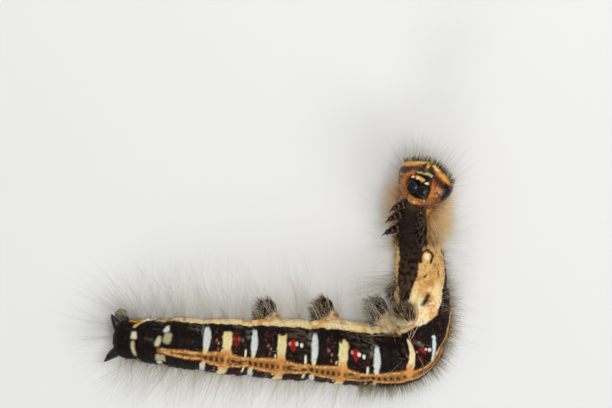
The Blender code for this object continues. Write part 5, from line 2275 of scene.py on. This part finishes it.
@dataclass
class TailHorns:
    """Two short dark points set back from the tail."""

    line: CentreLine
    lengths: tuple = (1.0, 1.2)
    radius: float = 0.45
    sink: float = 0.8
    setback: float = 0.75
    leans: tuple = ((0.86, 0.12, -0.52), (0.62, 0.15, -0.77))
    root: tuple = (1.0, 0.2)
    curve: float = 0.16
    wart: float = 0.09
    rings: int = 40
    around: int = 22

    def build(self, finish: bpy.types.Material) -> None:
        """Each horn tapers as r*(1 - t^1.6), is warty, and curves a little outwards.

        Args:
            finish: The material.
        """
        centre, ahead, back, left = (rows[0] for rows in self.line.frames(np.array([self.setback]))[:4])
        share = np.linspace(0, 1, self.rings)
        size = self.radius * 1.08 * (1 - np.clip((share - 0.25) / 0.75, 0, 1) ** 1.6) + 0.015
        run = share[:, None]
        for side, length, lean in zip(Side, self.lengths, self.leans, strict=True):
            across = left * side.value
            out = unit(across * lean[0] + back * lean[1] + ahead * lean[2])
            root = centre + across * self.root[0] + back * self.root[1]
            path = root + out * (self.sink + length) * run + across * self.curve * run**2
            points, faces = capped_grid(tube_grid(path, size, self.around), path[0], path[-1])
            grain = lattice_noise(points, 0.17, 71) - 0.5
            points = points + unit(points - path.mean(axis=0)) * (self.wart * grain)[:, None]
            tint = mix("#120A08", "#3E2A20", smooth(0.5, 0.85, grain + 0.5))
            piece = mesh_piece(f"horn_{side.word}", points, outward(points - root, faces), finish, tint)
            stand_for(piece, "horn", f"tail_horn_{side.word}")


@dataclass
class LegCoat:
    """Hair of the belly legs: brown and pale bristles from their domes down to the feet."""

    coat: Coat
    count: int = 620
    seed: int = 17
    raised_share: float = 1.25
    raised_lean: tuple = (-0.7, 1.5, -0.45)

    def spots(self, shape: LegShape, draw: np.random.Generator) -> tuple[Array, ...]:
        """Where one leg's hairs stand.

        Args:
            shape: The leg.
            draw: The random draws.

        Returns:
            Lengths from the tail, angles in radians, and whether each leg is raised and each hair pale.
        """
        raised = shape.leg.raised
        many = int(self.count * (self.raised_share if raised else 1))
        share = draw.uniform(*((0.2, 0.97) if raised else (0.36, 0.7)), many)
        turn = draw.uniform(0.25 * math.pi, 1.75 * math.pi, many)
        turn = np.where(raised, draw.uniform(-math.pi, math.pi, many), turn)
        far = (1 - share) * shape.leg.patch
        place = shape.place + far * np.cos(turn)
        angle = shape.angle + far * np.sin(turn) / shape.radius
        pale = draw.random(many) < np.where(raised & (np.cos(turn) < -0.25), 0.97, 0.16)
        return place, angle, np.full(many, raised), pale

    def build(self, finish: bpy.types.Material) -> None:
        """One piece for the eight belly legs; the hairs stand off the walls and droop.

        Args:
            finish: The material.
        """
        draw = np.random.default_rng(self.seed)
        skin = self.coat.skin
        rows = [self.spots(shape, draw) for shape in skin.legs if shape.leg.segment != "anal_segment"]
        place, angle, lifted, pale = (np.concatenate(row) for row in zip(*rows, strict=True))
        roots = skin.surface(place, angle)
        normal = skin.normals(place, angle)
        ahead = skin.line.frames(place)[1]
        count = len(place)
        lean = np.where(lifted[:, None], np.array(self.raised_lean), -ahead * 0.75 - UP * 0.1)
        ways = unit(normal + lean + draw.normal(0, 0.14, (count, 3)))
        lengths = np.where(lifted, draw.uniform(0.45, 1.05, count), draw.uniform(0.45, 1.0, count))
        low = ways[:, 2] * lengths + roots[:, 2] < 0.1
        ways[low, 2] = 0.05
        hairs = Hairs(
            roots=roots - normal * 0.05,
            ways=ways,
            bends=draw.normal(0, 0.12, (count, 3)) - UP * 0.15,
            lengths=lengths,
            thickness=draw.uniform(0.018, 0.028, count),
            root_tint=np.where(pale[:, None], linear("#CDB888"), linear("#1E0E08")),
            tip_tint=np.where(pale[:, None], linear("#E9DDB6"), linear("#5E3A1E")),
            uv=bake_place(place / skin.end, (np.degrees(angle) + 180) % 360 / 360),
            stations=4,
        )
        hairs.build("coat_belly_legs", finish)


@dataclass(frozen=True)
class HeadHairSet:
    """A kind of hair on the head: how many, its ranges of angles and lengths, colours and lean.

    The angle polar is off the face, turn is about the front axis, and upward is the lean to the
    head's up direction.
    """

    name: str
    count: int
    polar: tuple
    turn: tuple
    length: tuple
    root: str
    tip: str
    thickness: float
    stations: int
    upward: float = 0.3


HEAD_HAIR_SETS = (
    HeadHairSet("coat_crown_dark", 520, (76, 104), (22, 158), (0.3, 0.75), "#060302", "#2A1D14", 0.022, 3),
    HeadHairSet("coat_crown_pale", 300, (72, 108), (20, 160), (1.0, 2.6), "#DDD5BE", "#FAF7F0", 0.011, 5),
    HeadHairSet("coat_crown_grey", 60, (72, 108), (20, 160), (0.9, 2.0), "#7A6F5A", "#DCD5C2", 0.012, 4),
    HeadHairSet("coat_crown_long", 50, (66, 114), (4, 176), (3.0, 4.6), "#7A6F5A", "#DCD5C2", 0.01, 6),
    HeadHairSet("coat_cheek_low", 130, (66, 112), (-150, -20), (0.4, 1.2), "#1E120A", "#A07A44", 0.012, 3, 0.0),
    HeadHairSet("coat_face", 100, (26, 70), (-180, 180), (0.25, 0.6), "#3A2012", "#C9A46A", 0.009, 3, 0.1),
)


@dataclass
class HeadCoat:
    """Bristles of the head: a dark fringe behind the crown, long pale hairs and short face hairs."""

    head: Head
    seed: int = 23
    step: float = 0.02
    root_sink: float = 0.05

    def grow(self, kind: HeadHairSet, finish: bpy.types.Material) -> None:
        """Grows one set of hairs on the head.

        Args:
            kind: The hair set.
            finish: The material.
        """
        draw = np.random.default_rng(self.seed + sum(map(ord, kind.name)))
        count = kind.count
        polars = np.radians(draw.uniform(*kind.polar, count))
        turns = np.radians(draw.uniform(*kind.turn, count))
        place = self.head.places(polars, turns)
        along = self.head.places(polars + self.step, turns) - self.head.places(polars - self.step, turns)
        around = self.head.places(polars, turns + self.step) - self.head.places(polars, turns - self.step)
        normal = unit(np.cross(along, around))
        normal = np.where((normal * place).sum(1, keepdims=True) < 0, -normal, normal)
        ways = unit(normal + np.array([0, kind.upward, 0.1]) + draw.normal(0, 0.13, (count, 3)))
        lengths = draw.uniform(*kind.length, count)
        pull = draw.normal(0, 0.1, (count, 3)) - HEAD_AXES[2] * 0.08
        vary = draw.uniform(0.75, 1.2, (count, 1))
        hairs = Hairs(
            roots=in_head(place - normal * self.root_sink),
            ways=ways @ HEAD_AXES,
            bends=pull,
            lengths=lengths,
            thickness=kind.thickness * draw.uniform(0.75, 1.25, count),
            root_tint=np.clip(linear(kind.root) * vary, 0, 1),
            tip_tint=np.clip(linear(kind.tip) * vary, 0, 1),
            uv=bake_place(np.degrees(polars) / 180, np.degrees(turns) % 360 / 360),
            stations=kind.stations,
        )
        hairs.build(kind.name, finish)

    def build(self, finish: bpy.types.Material) -> None:
        """Every hair set of the head."""
        for kind in HEAD_HAIR_SETS:
            self.grow(kind, finish)


@dataclass
class Studio:
    """The plain pale floor, soft lights and the camera at the photograph's angle."""

    distance: float = 1500.0
    frame_width: float = 61.2
    sensor: float = 36.0
    floor_hex: str = "#E9E9E7"
    floor_half: float = 6.0
    sky_hex: str = "#F2F3F5"
    sky_strength: float = 0.32
    lights: tuple = (
        ("key", (30, 190, 280), 110, 0.65),
        ("fill", (200, -60, 240), 200, 0.28),
        ("rim", (-40, -260, 160), 140, 0.22),
    )

    def camera(self) -> None:
        """The camera, 57.5 degrees up on the left flank and upside down, as the larva hung."""
        data = bpy.data.cameras.new("camera")
        data.sensor_width = self.sensor
        data.lens = self.sensor * self.distance / self.frame_width
        data.clip_start = 0.01
        data.clip_end = 20
        view = np.array([0, math.cos(VIEW_ELEVATION), math.sin(VIEW_ELEVATION)])
        up = np.array([0, math.sin(VIEW_ELEVATION), -math.cos(VIEW_ELEVATION)])
        right = np.cross(up, view)
        made = bpy.data.objects.new("camera", data)
        turn = Matrix(np.stack([right, up, view], axis=1).tolist()).to_4x4()
        spot = (SHIFT + view * self.distance) * MM
        made.matrix_world = Matrix.Translation(Vector(spot.tolist())) @ turn
        bpy.context.scene.collection.objects.link(made)
        bpy.context.scene.camera = made

    def light(self, name: str, spot: tuple, size: float, watts: float) -> None:
        """An area light that faces the middle of the larva.

        Args:
            name: The light's name.
            spot: Its place in millimetres.
            size: The side of its square in millimetres.
            watts: Its power.
        """
        data = bpy.data.lights.new(name, "AREA")
        data.energy = watts
        data.size = size * MM
        made = bpy.data.objects.new(name, data)
        place = Vector(spot) * MM
        made.location = place
        made.rotation_mode = "QUATERNION"
        made.rotation_quaternion = (Vector((0, 0, 0.004)) - place).to_track_quat("-Z", "Y")
        bpy.context.scene.collection.objects.link(made)

    def floor(self) -> None:
        """A wide pale floor with a faint paper tooth."""
        made, tree, shader = start_material("matt_paper_floor")
        shader.inputs["Base Color"].default_value = (*linear(self.floor_hex), 1)
        shader.inputs["Roughness"].default_value = 0.9
        shader.inputs["Specular IOR Level"].default_value = 0.1
        add_bump(tree, shader, (0.6, 0.2), 0.01)
        mesh = bpy.data.meshes.new("floor")
        wide = self.floor_half
        corners = [(-wide, -wide, 0), (wide, -wide, 0), (wide, wide, 0), (-wide, wide, 0)]
        mesh.from_pydata(corners, [], [(0, 1, 2, 3)])
        mesh.materials.append(made)
        plane = bpy.data.objects.new("floor", mesh)
        bpy.context.scene.collection.objects.link(plane)

    def world(self) -> None:
        """An even pale sky."""
        made = bpy.data.worlds.new("studio")
        made.use_nodes = True
        sky = made.node_tree.nodes["Background"]
        sky.inputs["Color"].default_value = (*linear(self.sky_hex), 1)
        sky.inputs["Strength"].default_value = self.sky_strength
        bpy.context.scene.world = made

    def build(self) -> None:
        """Sets up the camera, floor, world and lights."""
        self.camera()
        self.floor()
        self.world()
        for row in self.lights:
            self.light(*row)
        bpy.context.scene.view_settings.view_transform = "Standard"


def main() -> None:
    """Builds the studio and the larva's sub-assemblies in order and reports each piece."""
    logging.basicConfig(level=logging.INFO, format="%(name)s: %(message)s")
    Studio().build()
    line = CentreLine()
    skin = BodySkin(line, Markings(line))
    skin.build(SoftSkin().make())
    coat = Coat(skin)
    hair = Bristle("pale_chitin_hair").make()
    dark = Bristle("dark_chitin_hair", roughness=0.6, specular=0.15).make()
    for kind in HAIR_SETS:
        coat.grow(kind, dark if "dark" in kind.name or "belly" in kind.name else hair)
    TrueLegs(line).build(HardCuticle("dark_leg_cuticle", roughness=0.3).make())
    TailHorns(line).build(HardCuticle("black_horn_cuticle", roughness=0.42, coat=0.1).make())
    amber = HardCuticle("amber_head_cuticle").make()
    head = Head()
    head.build(amber)
    Mouth().build(amber, HardCuticle("black_jaw_cuticle", roughness=0.32, coat=0.2, depth_mm=0.004).make())
    lens = HardCuticle("black_eye_lens", roughness=0.07, coat=1.0, depth_mm=0.002).make()
    pale = HardCuticle("cream_feeler_cuticle", roughness=0.35).make()
    for side in Side:
        Feeler().build(side, pale)
        Stemmata(head).build(side, lens)
    LegCoat(coat).build(dark)
    HeadCoat(head).build(hair)


if __name__ == "__main__":
    main()
